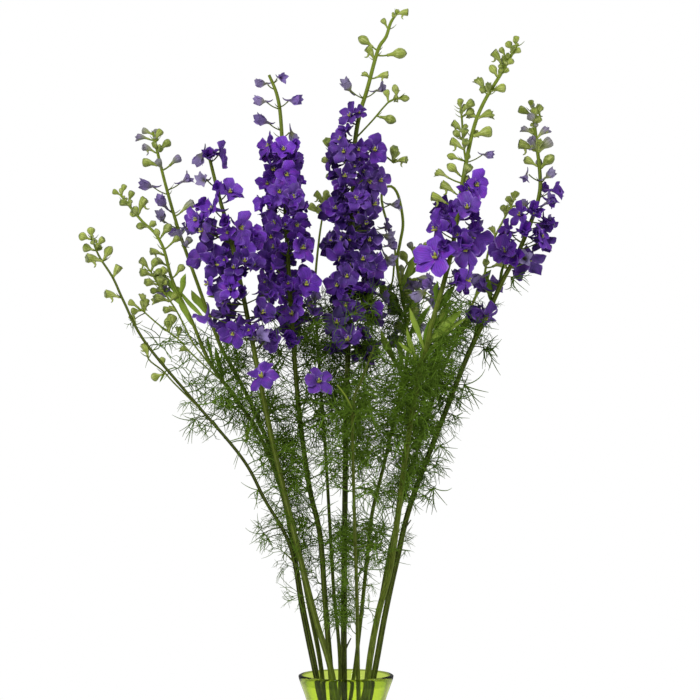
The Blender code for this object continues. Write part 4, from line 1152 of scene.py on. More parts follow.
def petal_look(settings):
    """Violet petals with veins and painted edge highlights, pale throats, grey-lilac young ones,
    green seed pods.
    """
    look, tree, shader = new_material("petal", {"Sheen Weight": 0.05, "Sheen Roughness": 0.4,
                                                "Specular IOR Level": 0.28})
    tint, age, part = (read_attribute(tree, name) for name in ("tint", "age", "part"))
    across, along = own_map(tree)
    blotch, grain = mottle(tree, 150.0, 1500.0)
    veins = vein_lines(tree, across, along, 8.0, 1.2)
    warm = blend_colour(tree, rescale(tree, blotch, 0.55, 0.95, 0.0, 0.8), settings.petal_bright,
                        settings.petal_warm)
    level = math_node(tree, "ADD", tint, rescale(tree, blotch, 0, 1, -0.22, 0.22), clamp=True)
    violet = blend_colour(tree, level, settings.petal_deep, warm)
    lined = blend_colour(tree, times(tree, veins, 0.45), violet, settings.petal_deep)
    # Painted highlight: light streaks along the petals' edges, where the blotches fall
    from_middle = math_node(tree, "ABSOLUTE", math_node(tree, "SUBTRACT", across, 0.5))
    edge = rescale(tree, from_middle, 0.36, 0.5)
    lit = times(tree, edge, rescale(tree, blotch, 0.30, 0.85, 0.0, 0.8))
    edge_highlighted = blend_colour(tree, lit, lined, settings.petal_edge_highlight)
    pale = blend_colour(tree, times(tree, veins, 0.5), settings.petal_aged, FADED_VEIN)
    based = blend_colour(tree, rescale(tree, along, 0.15, 0.45), SEPAL_BASE, pale)
    tipped = blend_colour(tree, rescale(tree, along, 0.82, 1.0, 0.0, 0.6), based, FADED_TIP)
    full = blend_colour(tree, age, edge_highlighted, tipped)
    # Inner petals take whitish edges, partly their own colour and partly a painted glint
    for mark, colour in (
            (INNER_MARK, blend_colour(tree, edge, INNER_PETAL, INNER_EDGE)),
            (POD_MARK, blend_colour(tree, grain, POD_GREEN, POD_YELLOW)),
            (SPUR_MARK, blend_colour(tree, along, full, SPUR_TIP))):
        check = math_node(tree, "COMPARE", part, mark)
        check.node.inputs[2].default_value = 0.1
        full = blend_colour(tree, check, full, colour)
    dress(tree, shader, full, grain, 0, 1, 0.42, 0.62)
    height = math_node(tree, "ADD", times(tree, veins, -0.7), times(tree, grain, 0.5))
    bump(tree, shader, height, 0.0002, 0.6)
    return look


def stem_look(settings):
    """Green stems, darker at the foot partly as painted shade, with light ridges, specks and a waxy
    bloom.
    """
    look, tree, shader = new_material("stem", {"Specular IOR Level": 0.10})
    tint, around, along = (read_attribute(tree, name) for name in ("tint", "around", "along"))
    blotch, grain = mottle(tree, 70.0, 900.0)
    ribs = math_node(tree, "SINE", times(tree, around, math.tau * 9))
    spot = put(tree, "ShaderNodeCombineXYZ",
               {"X": times(tree, around, 7.0), "Y": times(tree, along, 60.0)})
    streak = noise(tree, spot.outputs[0], 2.0, 3.0)
    level = math_node(tree, "ADD", tint, rescale(tree, streak, 0.3, 0.7, -0.18, 0.18), clamp=True)
    # Partly painted shade: the stems darken towards their feet, most in the middle of the bouquet
    base = blend_colour(tree, level, settings.stem_dark, settings.stem_light)
    turn = math_node(tree, "ADD", times(tree, around, math.tau * 3), times(tree, streak, 3.0))
    ridge = math_node(tree, "SINE", turn)
    lighter = blend_colour(tree, 0.5, base, STEM_RIDGE)
    ribbed = blend_colour(tree, rescale(tree, ridge, 0.25, 1.0, 0.0, 0.45), base, lighter)
    dusty = blend_colour(tree, rescale(tree, blotch, 0.55, 1.0, 0.0, 0.12), ribbed, STEM_BLOOM)
    speckled = blend_colour(tree, rescale(tree, grain, 0.70, 1.0, 0.0, 0.45), dusty,
                            settings.stem_dark)
    dress(tree, shader, speckled, grain, 0, 1, 0.38, 0.62)
    bump(tree, shader, math_node(tree, "ADD", ribs, grain), 0.00015, 0.7)
    return look


def leaf_look(settings):
    """Thread leaves from dark to bright green as painted shade and light, and yellow-green young
    bracts.
    """
    look, tree, shader = new_material("leaf", {"Specular IOR Level": 0.12})
    tint, around = (read_attribute(tree, name) for name in ("tint", "around"))
    blotch, grain = mottle(tree, 45.0, 700.0)
    level = math_node(tree, "ADD", tint, rescale(tree, blotch, 0, 1, -0.20, 0.20), clamp=True)
    # Painted shade and light: each leaf's brightness runs from the dark colour to the bright and
    # young ones
    base = blend_colour(tree, rescale(tree, level, 0.0, 0.75), settings.leaf_dark,
                        settings.leaf_bright)
    young = blend_colour(tree, rescale(tree, level, 0.65, 1.0), base, settings.leaf_young_and_lit)
    hollow = math_node(tree, "SINE", times(tree, around, math.tau))
    grooved = blend_colour(tree, rescale(tree, hollow, 0.4, 1.0, 0.0, 0.16), young, LEAF_GROOVE)
    fine = blend_colour(tree, rescale(tree, grain, 0.6, 1.0, 0.0, 0.3), grooved, settings.leaf_dark)
    dress(tree, shader, fine, grain, 0, 1, 0.40, 0.60)
    bump(tree, shader, grain, 0.0001, 0.5)
    return look


def bud_look(settings):
    """Light green ribbed buds, some turning lilac towards their tips."""
    look, tree, shader = new_material("bud", {"Specular IOR Level": 0.25, "Sheen Weight": 0.25,
                                              "Sheen Roughness": 0.5})
    tint, age = (read_attribute(tree, name) for name in ("tint", "age"))
    across, along = own_map(tree)
    blotch, grain = mottle(tree, 260.0, 1600.0)
    veins = vein_lines(tree, across, along, 10.0, 0.8)
    green = blend_colour(tree, tint, BUD_SHADE, settings.bud_green)
    lit = blend_colour(tree, rescale(tree, blotch, 0.40, 0.85, 0.0, 0.7), green, BUD_LIGHT)
    tipped = blend_colour(tree, rescale(tree, along, 0.74, 0.97, 0.0, 0.85), lit, BUD_END)
    lilac = blend_colour(tree, blotch, settings.petal_aged, BUD_LILAC)
    opening = math_node(tree, "MULTIPLY", age, rescale(tree, along, 0.15, 0.65), clamp=True)
    mixed = blend_colour(tree, opening, tipped, lilac)
    ribbed = blend_colour(tree, times(tree, veins, 0.60), mixed, BUD_VEIN)
    dress(tree, shader, ribbed, grain, 0, 1, 0.45, 0.68)
    bump(tree, shader, math_node(tree, "ADD", veins, grain), 0.00015, 0.6)
    return look


def glass_look(settings):
    """Green glass, deeper at its edges, rim and foot, with the faint waves of hand-made glass."""
    look, tree, shader = new_material("glass", {"Transmission Weight": 1.0, "IOR": 1.28,
                                                "Specular IOR Level": 0.2})
    spot = object_place(tree)
    height = put(tree, "ShaderNodeSeparateXYZ", {0: spot}).outputs[2]
    rim = rescale(tree, height, settings.height - 0.0100, settings.height - 0.0085, 0.0, 0.7)
    foot = rescale(tree, height, 0.010, 0.002)
    wave = noise(tree, spot, 28.0)
    seeds = put(tree, "ShaderNodeTexVoronoi", {"Vector": spot, "Scale": 160.0})
    bubble = rescale(tree, seeds.outputs["Distance"], 0.02, 0.07, 1.0, 0.0)
    cloud = rescale(tree, wave, 0.35, 0.65, 0.0, 0.14)
    body = blend_colour(tree, cloud, settings.glass_colour, GLASS_CLOUD)
    slant = put(tree, "ShaderNodeLayerWeight", {"Blend": 0.5}).outputs["Facing"]
    edged = blend_colour(tree, rescale(tree, slant, 0.45, 0.95, 0.0, 0.95), body,
                         settings.glass_edge)
    full = blend_colour(tree, math_node(tree, "MAXIMUM", rim, foot), edged, settings.rim_colour)
    dress(tree, shader, full, wave, 0.3, 0.7, 0.015, 0.06)
    bump(tree, shader, math_node(tree, "ADD", wave, times(tree, bubble, 0.15)), 0.0006, 0.5)
    return look


def water_look(settings):
    """Clear water with a faint tint and a barely moving surface."""
    look, tree, shader = new_material("water", {"Transmission Weight": 1.0, "IOR": 1.33})
    wave = noise(tree, object_place(tree), 45.0)
    tint = blend_colour(tree, wave, settings.water_colour, WATER_CLOUD)
    dress(tree, shader, tint, wave, 0.3, 0.7, 0.0, 0.02)
    bump(tree, shader, wave, 0.0004, 0.3)
    return look


def floor_look():
    """A plain pale floor with the faintest grain."""
    look, tree, shader = new_material("floor", {"Roughness": 0.75, "Specular IOR Level": 0.2})
    grain = noise(tree, object_place(tree), 12.0)
    tint = blend_colour(tree, rescale(tree, grain, 0.3, 0.7), FLOOR_SHADE, FLOOR_LIGHT)
    tree.links.new(tint, shader.inputs["Base Color"])
    return look


# Turned pieces

def smooth_profile(points, steps):
    """Points of an even curve through a turned outline."""
    fine = []
    for index in range(len(points) - 1):
        before = Vector(points[max(index - 1, 0)])
        start = Vector(points[index])
        end = Vector(points[index + 1])
        after = Vector(points[min(index + 2, len(points) - 1)])
        for step in range(steps):
            t = step / steps
            fine.append(0.5 * (2 * start + (end - before) * t
                               + (2 * before - 5 * start + 4 * end - after) * t * t
                               + (3 * start - before - 3 * end + after) * t ** 3))
    fine.append(Vector(points[-1]))
    return fine


def turned(name, profile, segments, look):
    """A profile of radius and height, in metres, turned about the vertical axis."""
    bm = bmesh.new()
    verts = [bm.verts.new((radius, 0, height)) for radius, height in profile]
    for upper, lower in zip(verts, verts[1:]):
        bm.edges.new((upper, lower))
    piece = link(piece_of(name, bm, look))
    screw = piece.modifiers.new("Turn", "SCREW")
    screw.steps = segments
    screw.render_steps = segments
    screw.use_merge_vertices = True
    screw.merge_threshold = 0.00001
    screw.use_smooth_shade = True
    settle(piece)
    bm = bmesh.new()
    bm.from_mesh(piece.data)
    bmesh.ops.remove_doubles(bm, verts=bm.verts, dist=0.00001)
    bmesh.ops.recalc_face_normals(bm, faces=bm.faces)
    bm.to_mesh(piece.data)
    bm.free()
    return piece


def vase_profile(scale):
    """The vase's outline: floor, hollow, rounded lip, outer wall and foot."""
    hollow = smooth_profile(VASE_INSIDE, 6)
    wall = smooth_profile(VASE_OUTSIDE, 6)
    inner, outer = hollow[-1], wall[0]
    lip = []
    for step in range(1, 6):
        angle = math.pi * step / 6
        middle = (inner + outer) / 2
        half = (outer.x - inner.x) / 2
        lip.append(Vector((middle.x - math.cos(angle) * half,
                           middle.y + math.sin(angle) * half * 0.7)))
    floor = [Vector((0.0, VASE_FLOOR / MM - 1.5)), Vector((18.0, VASE_FLOOR / MM - 0.7))]
    foot = [Vector((36.0, 0.0)), Vector((30.0, 1.6)), Vector((0.0, 2.2))]
    outline = floor + hollow + lip + wall + foot
    return [(point.x * MM * scale, point.y * MM * scale) for point in outline]


def water_profile(level):
    """The water fills the hollow up to its level, with a small raised edge."""
    level = level / MM
    inside = smooth_profile(VASE_INSIDE, 6)
    wet = [(point.x, point.y) for point in inside if point.y < level - 1.0]
    edge = wet[-1][0] + 0.25
    outline = [(0.0, level - 0.6), (edge * 0.6, level - 0.6), (edge - 3.0, level - 0.5),
               (edge - 1.2, level - 0.1), (edge - 0.1, level + 0.7)]
    outline += [(radius - 0.05, height) for radius, height in wet[::-1]]
    outline += [(18.0, VASE_FLOOR / MM - 0.6), (0.0, VASE_FLOOR / MM - 1.4)]
    return [(radius * MM, height * MM) for radius, height in outline]


# Petals, buds and leaves

def new_sheet_mesh():
    """An empty mesh for petals, with layers for their part and their own map."""
    bm = bmesh.new()
    return bm, bm.verts.layers.float.new("part"), bm.loops.layers.uv.new("petal_map")


def cover(sheet, corners, marks):
    """Add a face and give its corners their place on the petal's own map."""
    bm, _, spot = sheet
    face = bm.faces.new(corners)
    for loop in face.loops:
        loop[spot].uv = marks[loop.vert]
    return face


def petal(sheet, angle, part_value, length, width, lean, lean_end, start=0.0010, point=0.9,
          fold=0.15, curl=0.1, ruffle=0.4, twist=0.0, sway=0.0, phase=0.0, rows=7, columns=4,
          lift_by=0.0):
    """A thin closed petal: a grid bowed along its length, folded, twisted and ruffled."""
    bm, part, _ = sheet
    radial = Vector((math.cos(angle), math.sin(angle), 0))
    side = Vector((-math.sin(angle), math.cos(angle), 0))
    reach = start
    rise = lift_by
    front = []
    back = []
    marks = {}
    for row in range(rows + 1):
        v = row / rows
        bend = math.radians(lean + (lean_end - lean) * v)
        if row:
            reach += math.sin(bend) * length / rows
            rise += math.cos(bend) * length / rows
        normal = UP * math.sin(bend) - radial * math.cos(bend)
        roll = twist * v
        across = side * math.cos(roll) + normal * math.sin(roll)
        upright = normal * math.cos(roll) - side * math.sin(roll)
        broad = max(PETAL_CLAW, v ** 0.7 * (1 - v ** 2.2) ** point * 2.0)
        spine = radial * reach + UP * rise + side * (sway * v * v * length)
        front_row = []
        back_row = []
        for column in range(columns + 1):
            u = 2 * column / columns - 1
            ragged = 1 + 0.12 * abs(u) * math.sin(11 * v + phase * 3 + (2 if u > 0 else 0))
            half = width * broad * ragged
            wave = ruffle * v * abs(u) * math.sin(5.0 * v + 2.4 * u + phase)
            lift = (fold * abs(u) + curl * u * u + wave) * half
            place_on = spine + across * (u * half) + upright * lift
            edge = abs(u) == 1 or row in (0, rows)
            thick = 0.0 if edge else PETAL_THICK
            first = bm.verts.new(place_on + upright * thick)
            second = first if edge else bm.verts.new(place_on - upright * thick)
            for vert in (first, second):
                vert[part] = part_value
                marks[vert] = ((u + 1) / 2, v)
            front_row.append(first)
            back_row.append(second)
            if row == rows:
                front_row = [first] * (columns + 1)
                back_row = [first] * (columns + 1)
                break
        front.append(front_row)
        back.append(back_row)
    for grid, flip in ((front, False), (back, True)):
        for row in range(rows):
            for column in range(columns):
                corners = [grid[row][column], grid[row][column + 1],
                           grid[row + 1][column + 1], grid[row + 1][column]]
                corners = list(dict.fromkeys(corners))
                cover(sheet, corners[::-1] if flip else corners, marks)


def carried_sides(points):
    """Two directions across a path at each of its points, carried along without a twist."""
    side = (points[1] - points[0]).orthogonal().normalized()
    sides = []
    for index in range(len(points)):
        way = (points[min(index + 1, len(points) - 1)] - points[max(index - 1, 0)]).normalized()
        side = (side - way * side.dot(way)).normalized()
        sides.append((side, way.cross(side)))
    return sides


def rod(sheet, points, radii, sides, part_value, ribs=0.0):
    """A closed round body along a few points, for spurs, pods and buds."""
    bm, part, _ = sheet
    rings = []
    marks = {}
    frames = carried_sides(points)
    for index, point in enumerate(points):
        v = index / (len(points) - 1)
        first, second = frames[index]
        ring = []
        for corner in range(sides):
            angle = corner * math.tau / sides
            swell = radii[index] * (1 + ribs * v * v * math.cos(5 * angle))
            away = first * math.cos(angle) + second * math.sin(angle)
            vert = bm.verts.new(point + away * swell)
            vert[part] = part_value
            marks[vert] = (corner / sides, v)
            ring.append(vert)
        rings.append(ring)
    for lower, upper in zip(rings, rings[1:]):
        for corner in range(sides):
            after = (corner + 1) % sides
            cover(sheet, (lower[corner], lower[after], upper[after], upper[corner]), marks)
    cover(sheet, rings[0][::-1], marks)
    cover(sheet, rings[-1], marks)


def kind_object(name, sheet):
    """Close a sheet mesh and put it on an object, with its sharp edges marked."""
    bm = sheet[0]
    bmesh.ops.recalc_face_normals(bm, faces=bm.faces)
    for edge in bm.edges:
        if len(edge.link_faces) == 2 and edge.calc_face_angle() > SHARP_ANGLE:
            edge.smooth = False
    return piece_of(name, bm)


def floret_kind(index, length, rng):
    """A floret one full size: five sepals, small inner petals, seed pods and a spur."""
    lean, lean_end, ruffle, loose, width, point, face, reach = FLORET_KINDS[index]
    sheet = new_sheet_mesh()
    for count in range(5):
        angle = count * math.tau / 5 + rng.uniform(-0.16, 0.16)
        petal(sheet, angle, 0.0, length * reach * rng.uniform(0.86, 1.12),
              length * reach * width * rng.uniform(0.88, 1.14),
              lean + rng.uniform(-loose, loose), lean_end + rng.uniform(-loose, loose) * 1.8,
              start=0.0010, point=point, fold=rng.uniform(-0.05, 0.40),
              curl=rng.uniform(-0.20, 0.35), ruffle=ruffle, twist=rng.uniform(-0.5, 0.5),
              sway=rng.uniform(-0.18, 0.18), phase=rng.uniform(0, 6))
    if face:
        for turn in (-0.6, 0.55):
            petal(sheet, turn, INNER_MARK, 0.0056, 0.0019, 14, 56, start=0.0005, fold=0.3,
                  ruffle=0.5, phase=rng.uniform(0, 6), rows=4, columns=2)
        for turn in (-2.5, -0.2, 2.4):
            out = Vector((math.cos(turn), math.sin(turn), 0))
            spots = [out * (0.0005 + z * 0.24) + Vector((0, 0, z))
                     for z in (-0.0005, 0.0016, 0.0034, 0.0046)]
            rod(sheet, spots, (0.0008, 0.0011, 0.0010, 0.0004), 5, POD_MARK)
    spots = []
    for step in range(6):
        t = step / 5
        spots.append(Vector((0.0010 + 0.0055 * t * t, 0.0, 0.0005 - 0.0145 * t + 0.0030 * t ** 3)))
    rod(sheet, spots, (0.0019, 0.0017, 0.0013, 0.0010, 0.0008, 0.0004), 6, SPUR_MARK)
    return kind_object(f"floret_kind_{index}", sheet)


def bud_kind(index, rng):
    """A bud one unit long with its neck: clubs and cups with a toothed end, or a round one."""
    sheet = new_sheet_mesh()
    heights, radii, ribs, bend = BUD_SHAPES[index]
    stout = rng.uniform(0.92, 1.08)
    spots = [Vector((bend * math.sin(height * 2.2), 0, height)) for height in heights]
    rod(sheet, spots, [radius * stout for radius in radii], 10, 0.0, ribs)
    if index in SPUR_BUDS:
        tail = [Vector((0.02, 0, 0.62)), Vector((-0.12, 0, 0.50)), Vector((-0.24, 0, 0.44)),
                Vector((-0.36, 0, 0.47)), Vector((-0.44, 0, 0.55))]
        rod(sheet, tail, (0.10, 0.085, 0.065, 0.05, 0.02), 6, 0.0)
    if index in OPENING_BUDS:
        for count in range(5):
            petal(sheet, count * math.tau / 5 + 0.2, 0.0, 0.42, 0.13, 2, rng.uniform(15, 60),
                  start=0.13, fold=0.4, rows=4, columns=2, phase=rng.uniform(0, 6), lift_by=0.58)
    return kind_object(f"bud_kind_{index}", sheet)


def thread(paths, rng, start, way, length, girth, level, droop=0.0):
    """One thread of a leaf and the threads that it splits into, bent towards -X."""
    stray = Vector([rng.uniform(-THREAD_STRAY, THREAD_STRAY) for _ in range(3)])
    drift = stray - Vector((droop, 0, 0))
    spots = [start]
    girths = [girth]
    for step in range(1, THREAD_STEPS + 1):
        share = step / THREAD_STEPS
        spots.append(spots[-1] + (way + drift * share).normalized() * (length / THREAD_STEPS))
        taper = 1 - 0.65 * share ** 2 if level == 0 else 1 - 0.12 * share
        girths.append(girth * taper)
    paths.append((spots, girths, [0.5] * len(spots)))
    if level == 0:
        return
    along = (spots[-1] - spots[-2]).normalized()
    hinge = along.orthogonal().normalized()
    roll = rng.uniform(0, math.tau)
    count = 3 if rng.random() < 0.35 else 2
    for child in range(count):
        axis = Quaternion(along, roll + child * math.tau / count) @ hinge
        turned_way = Quaternion(axis, math.radians(rng.uniform(14, 46))) @ along
        reach = rng.uniform(1.0, 1.7) if level == 1 else rng.uniform(0.8, 1.1)
        thread(paths, rng, spots[-1], turned_way, length * reach, girth * 0.9, level - 1, droop)


def leaf_kind(index, girth, rng):
    """A leaf one unit long along Z: a stalk, a fan of rays and threads that split."""
    paths = []
    hub = Vector((0, 0, 0.26))
    bow = Vector((0, rng.uniform(-0.05, 0.05), 0.13))
    paths.append(([Vector((0, 0, 0)), bow, hub], [girth * 1.2] * 3, [0.5] * 3))
    for angle in LEAF_FAN:
        turn = math.radians(angle + rng.uniform(-12, 12))
        lift = rng.uniform(-0.5, 0.5)
        way = Vector((lift, math.sin(turn), math.cos(turn))).normalized()
        level = 2 if rng.random() < 0.6 else 1
        length = rng.uniform(0.15, 0.21) * (1.0 if level == 2 else 1.5)
        thread(paths, rng, hub, way, length, girth, level, 0.22)
    return tubes(f"leaf_kind_{index:02d}", paths, LEAF_STEP, THREAD_SIDES, None)


def spray_kind(index, girth, rng):
    """A fan of long bent threads one unit long, which opens along Z."""
    paths = []
    count = rng.randrange(7, 10)
    for ray in range(count):
        turn = ray * GOLDEN_ANGLE + rng.uniform(-0.3, 0.3)
        tilt = math.radians(rng.uniform(8, 80))
        way = Vector((math.sin(tilt) * math.cos(turn), math.sin(tilt) * math.sin(turn),
                      math.cos(tilt)))
        forked = rng.random() < 0.55
        reach = rng.uniform(0.55, 1.0)
        if forked:
            thread(paths, rng, Vector((0, 0, 0)), way, reach * 0.42, girth, 1, 0.30)
        else:
            thread(paths, rng, Vector((0, 0, 0)), way, reach, girth, 0, 0.45)
    return tubes(f"spray_kind_{index:02d}", paths, FAN_STEP, THREAD_SIDES, None)


def blade_kind(index, rng):
    """A bract one unit long, folded along its middle; the later kinds are broad ones."""
    sheet = new_sheet_mesh()
    wide = BROAD_BLADE if index >= BLADE_KINDS else 1.0
    petal(sheet, 0.0, 0.0, 1.0, rng.uniform(0.04, 0.07) * wide, 2, 2 + index * 7, start=0.0,
          point=0.8, fold=0.5, ruffle=0.4 * wide, twist=rng.uniform(-0.6, 0.6), rows=8, columns=2)
    return kind_object(f"blade_kind_{index:02d}", sheet)


# Places of the pieces

def turn_of(heading, across):
    """Euler angles that bring +Z onto a heading and +X towards a side."""
    normal = heading.cross(across).normalized()
    side = normal.cross(heading).normalized()
    turn = Matrix((side, normal, heading)).transposed()
    return tuple(turn.to_euler())


def held(value):
    """A value kept between 0 and 1."""
    return min(1.0, max(0.0, value))


def upright_turn(heading):
    """Euler angles for a piece that faces a heading with its top side up."""
    return turn_of(heading, UP - heading * heading.z)


def floret_spots(name, florets, rng):
    """Where the florets of one head sit, which kind each is, and its shade and age."""
    spots = []
    for centre, facing, size, foot in florets:
        if size < HALF_OPEN_FROM:
            kind = rng.choice(BELL_KINDS)
        elif size < OPEN_FROM:
            kind = rng.choice(HALF_OPEN_KINDS)
        else:
            kind = rng.choice(OPEN_KINDS)
        swing = SWING_WIDE if rng.random() < SHARE_TURNED else SWING_SLIGHT
        heading = turned_aside(facing, swing, rng)
        age = rng.uniform(0.45, 1.0) if size < HALF_OPEN_FROM else rng.uniform(0.0, 0.10)
        tint = held(HEAD_LIGHT[name] + rng.uniform(-HEAD_SPREAD, HEAD_SPREAD))
        spots.append((centre, upright_turn(heading), size * FLORET_FULLNESS, kind, tint, age))
        if size >= HALF_OPEN_FROM and centre.z > LONE_BELOW:
            for _ in range(FILLERS):
                # Painted shade: the fillers, deeper in the head, are darker
                spots.append(filler(centre, size, foot, tint * 0.8, rng))
    return spots


def beside_stem(lines, across, down, out):
    """The point that a front view shows at across and down, at a depth from the stem."""
    axis = height_on(lines[0], place(across, down, 0).z)[0]
    return place(across, down, axis.y / MM + out)


def faded_places(name):
    """Foot, centre, size, age and brightness of the faded florets of a stem."""
    lines = LAYOUT[name]["lines"]
    found = []
    for across, down, out, size, age, tint in FADED.get(name, ()):
        centre = beside_stem(lines, across, down, out)
        foot = nearest_on(lines, centre - Vector((0, 0, 0.006)))
        found.append((foot, centre, size, age, tint))
    return found


def faded_spots(name, rng):
    """Where the faded florets of a stem sit, hanging a little, half open or folded."""
    spots = []
    for foot, centre, size, age, tint in faded_places(name):
        heading = turned_aside((centre - foot).normalized(), SWING_WIDE, rng)
        spots.append((centre, upright_turn(heading), size, rng.choice(FOLDED_KINDS), tint, age))
    return spots


def turned_aside(facing, swing, rng):
    """A direction turned away from another by up to an angle, any way round."""
    axis = Quaternion(facing, rng.uniform(0, math.tau)) @ facing.orthogonal().normalized()
    return Quaternion(axis, rng.uniform(0.2, 1.0) * swing) @ facing


def filler(centre, size, foot, tint, rng):
    """A folded floret that stands beside an open one, closer to the stem."""
    away = centre - foot
    beside = Quaternion((0, 0, 1), rng.choice((-1, 1)) * rng.uniform(0.4, 1.2)) @ away
    spot = foot + beside * rng.uniform(0.5, 0.95) + Vector((0, 0, rng.uniform(-0.008, 0.009)))
    heading = (beside.normalized() + Vector((0, 0, rng.uniform(-0.7, 0.6)))).normalized()
    kind = rng.choice(FOLDED_KINDS)
    return spot, upright_turn(heading), size * rng.uniform(0.7, 1.0), kind, tint, 0.0


def bud_start(foot, base, tip):
    """Where a bud's own neck starts: at the stem, or up its stalk where that is long."""
    reach = min((tip - foot).length, NECK_SHARE * (tip - base).length)
    return tip - (tip - foot).normalized() * reach


def bud_spots(name, buds, rng):
    """Where the buds of one stem sit, which kind each is, and its shade and age."""
    spots = []
    for foot, base, tip in buds:
        start = bud_start(foot, base, tip)
        axis = tip - start
        length = axis.length
        kind = rng.choice(ROUND_BUDS if (tip - base).length < SMALL_BUD else CLUB_BUDS)
        across = Vector((rng.uniform(-0.4, 0.4), rng.uniform(-0.4, 0.4), 1))
        purple = name in LILAC_STEMS and rng.random() < LILAC_STEMS[name]
        age = rng.uniform(0.4, 0.9) if purple and length > SMALL_BUD else 0.0
        spots.append((start, turn_of(axis.normalized(), across), length * BUD_FULLNESS, kind,
                      rng.uniform(0.15, 1.0), age))
        if rng.random() < TWIN_SHARE[name]:
            spots.append(twin_bud(name, foot, axis, rng))
    return spots


def twin_bud(name, foot, axis, rng):
    """A smaller bud that grows from the stem beside another, turned away from it."""
    turn = rng.choice((-1, 1)) * rng.uniform(*TWIN_TURN)
    way = Quaternion((0, 0, 1), turn) @ axis.normalized() + Vector((0, 0, rng.uniform(0.0, 0.5)))
    length = axis.length * BUD_FULLNESS * rng.uniform(0.65, 0.95)
    lilac = name in LILAC_STEMS and rng.random() < LILAC_STEMS[name]
    age = rng.uniform(0.4, 0.9) if lilac else 0.0
    return (foot, turn_of(way.normalized(), UP), length, rng.choice(CLUB_BUDS),
            rng.uniform(0.2, 0.9), age)


def tip_buds(name, rng):
    """Small buds crowded round the tip of a stem, where the solids leave them out."""
    count, reach, lilac = TIP_BUDS[name]
    line = LAYOUT[name]["lines"][0]
    tip = line[0][0]
    spots = []
    for index in range(count):
        share = (index + 0.5) / count
        start = height_on(line, tip.z - share * reach * MM)[0]
        turn = index * GOLDEN_ANGLE
        way = Vector((math.cos(turn), math.sin(turn), rng.uniform(0.7, 1.5))).normalized()
        length = (TIP_BUD_LENGTH + TIP_BUD_GAIN * share) * rng.uniform(0.85, 1.15) * MM
        age = rng.uniform(0.4, 0.9) if rng.random() < lilac else 0.0
        spots.append((start, turn_of(way, UP), length, rng.choice(ROUND_BUDS),
                      rng.uniform(0.3, 0.8), age))
    return spots


def extra_leaves(rng):
    """Leaves that fill the bushes, each grown from a stem near it."""
    grown = {name: [] for name in STEMS}
    for across, down, depth, wide, high, count, bright in BUSHES:
        for _ in range(count):
            turn = rng.uniform(0, math.tau)
            reach = math.sqrt(rng.random())
            goal = place(across + math.cos(turn) * wide * reach,
                         down + math.sin(turn) * high * reach,
                         depth + rng.uniform(-BUSH_DEPTH, BUSH_DEPTH))
            near = []
            for name, parts in LAYOUT.items():
                axis = height_on(parts["lines"][0], goal.z - LEAF_CLIMB)[0]
                near.append(((axis - goal).length, name))
            near.sort()
            name = rng.choice(near[:3])[1] if near[2][0] < STEM_REACH else near[0][1]
            start = height_on(LAYOUT[name]["lines"][0], goal.z - rng.uniform(*LEAF_START))[0]
            way = goal - start
            length = min(LONGEST_LEAF, max(SHORTEST_LEAF, way.length * LEAF_OVERSHOOT))
            # Painted light and shade: the bush's brightness, less the further back the leaf stands
            tint = bright + rng.uniform(-BUSH_SPREAD, BUSH_SPREAD) - goal.y * FRONT_LIGHT
            grown[name].append((start, way.normalized(), length, tint))
    return grown


def spray_spots(name, rng):
    """Where a stem's fans of threads and its bracts sit, and the ends of the fans' stalks."""
    spots = []
    stalks = []
    lines = LAYOUT[name]["lines"]
    for across, down, out, angle, length, tint in SPRAYS.get(name, ()):
        hub = beside_stem(lines, across, down, out)
        foot = nearest_on(lines, hub - Vector((0, 0, 0.004)))
        turn = math.radians(angle)
        heading = Vector((math.cos(turn), rng.uniform(-0.35, 0.35), math.sin(turn))).normalized()
        up = Vector((0.0, rng.uniform(-0.3, 0.3), 1.0)) - heading * heading.z * 0.9
        kind = LEAF_KINDS + rng.randrange(SPRAY_KINDS)
        spots.append((hub, turn_of(heading, up), length * MM, kind, tint, 0.0))
        stalks.append((foot, hub, tint))
    for across, down, out, tip_across, tip_down, tint, broad in BLADES.get(name, ()):
        depth = height_on(lines[0], place(across, down, 0).z)[0].y / MM + out
        foot = nearest_on(lines, place(across, down, depth))
        way = place(tip_across, tip_down, depth + out * 0.5) - foot
        kind = LEAF_KINDS + SPRAY_KINDS + rng.randrange(BLADE_KINDS) + broad * BLADE_KINDS
        spots.append((foot, turn_of(way.normalized(), BLADE_FACE), way.length, kind, tint, 0.0))
    return spots, stalks


def leaf_spots(name, extras, rng):
    """Where the leaves, fans and bracts of one stem sit, their kinds and brightness."""
    spots = spray_spots(name, rng)[0]
    for start, hub, _, heading, _ in LAYOUT[name]["leaves"]:
        length = (hub - start).length / HUB_SHARE
        spots.append((start, turn_of(heading, UP), length, rng.randrange(LEAF_KINDS),
                      rng.uniform(0.10, 0.55), 0.0))
    for start, heading, length, tint in extras:
        across = Vector((rng.uniform(-0.6, 0.6), rng.uniform(-0.6, 0.6), 1))
        spots.append((start, turn_of(heading, across), length, rng.randrange(LEAF_KINDS),
                      held(tint), 0.0))
    return spots


def stalk_path(foot, end, rise, girth, tint):
    """A short curved stalk from the stem to a floret or a bud."""
    middle = foot.lerp(end, 0.55) + Vector((0, 0, rise))
    return [foot, middle, end], [girth * 1.25, girth, girth * 1.1], [tint] * 3


def bract_path(foot, axis, rng, tint):
    """A thread-like bract under a stalk."""
    out = foot - axis
    out.z = 0
    if out.length < 0.0001:
        out = Vector((rng.uniform(-1, 1), rng.uniform(-1, 1), 0))
    out = out.normalized()
    length = rng.uniform(0.006, 0.011)
    middle = foot + out * length * 0.5 + Vector((0, 0, length * 0.2))
    tip = foot + out * length * 0.9 + Vector((0, 0, length * 0.55))
    return [foot, middle, tip], BRACT_GIRTHS, [tint] * 3


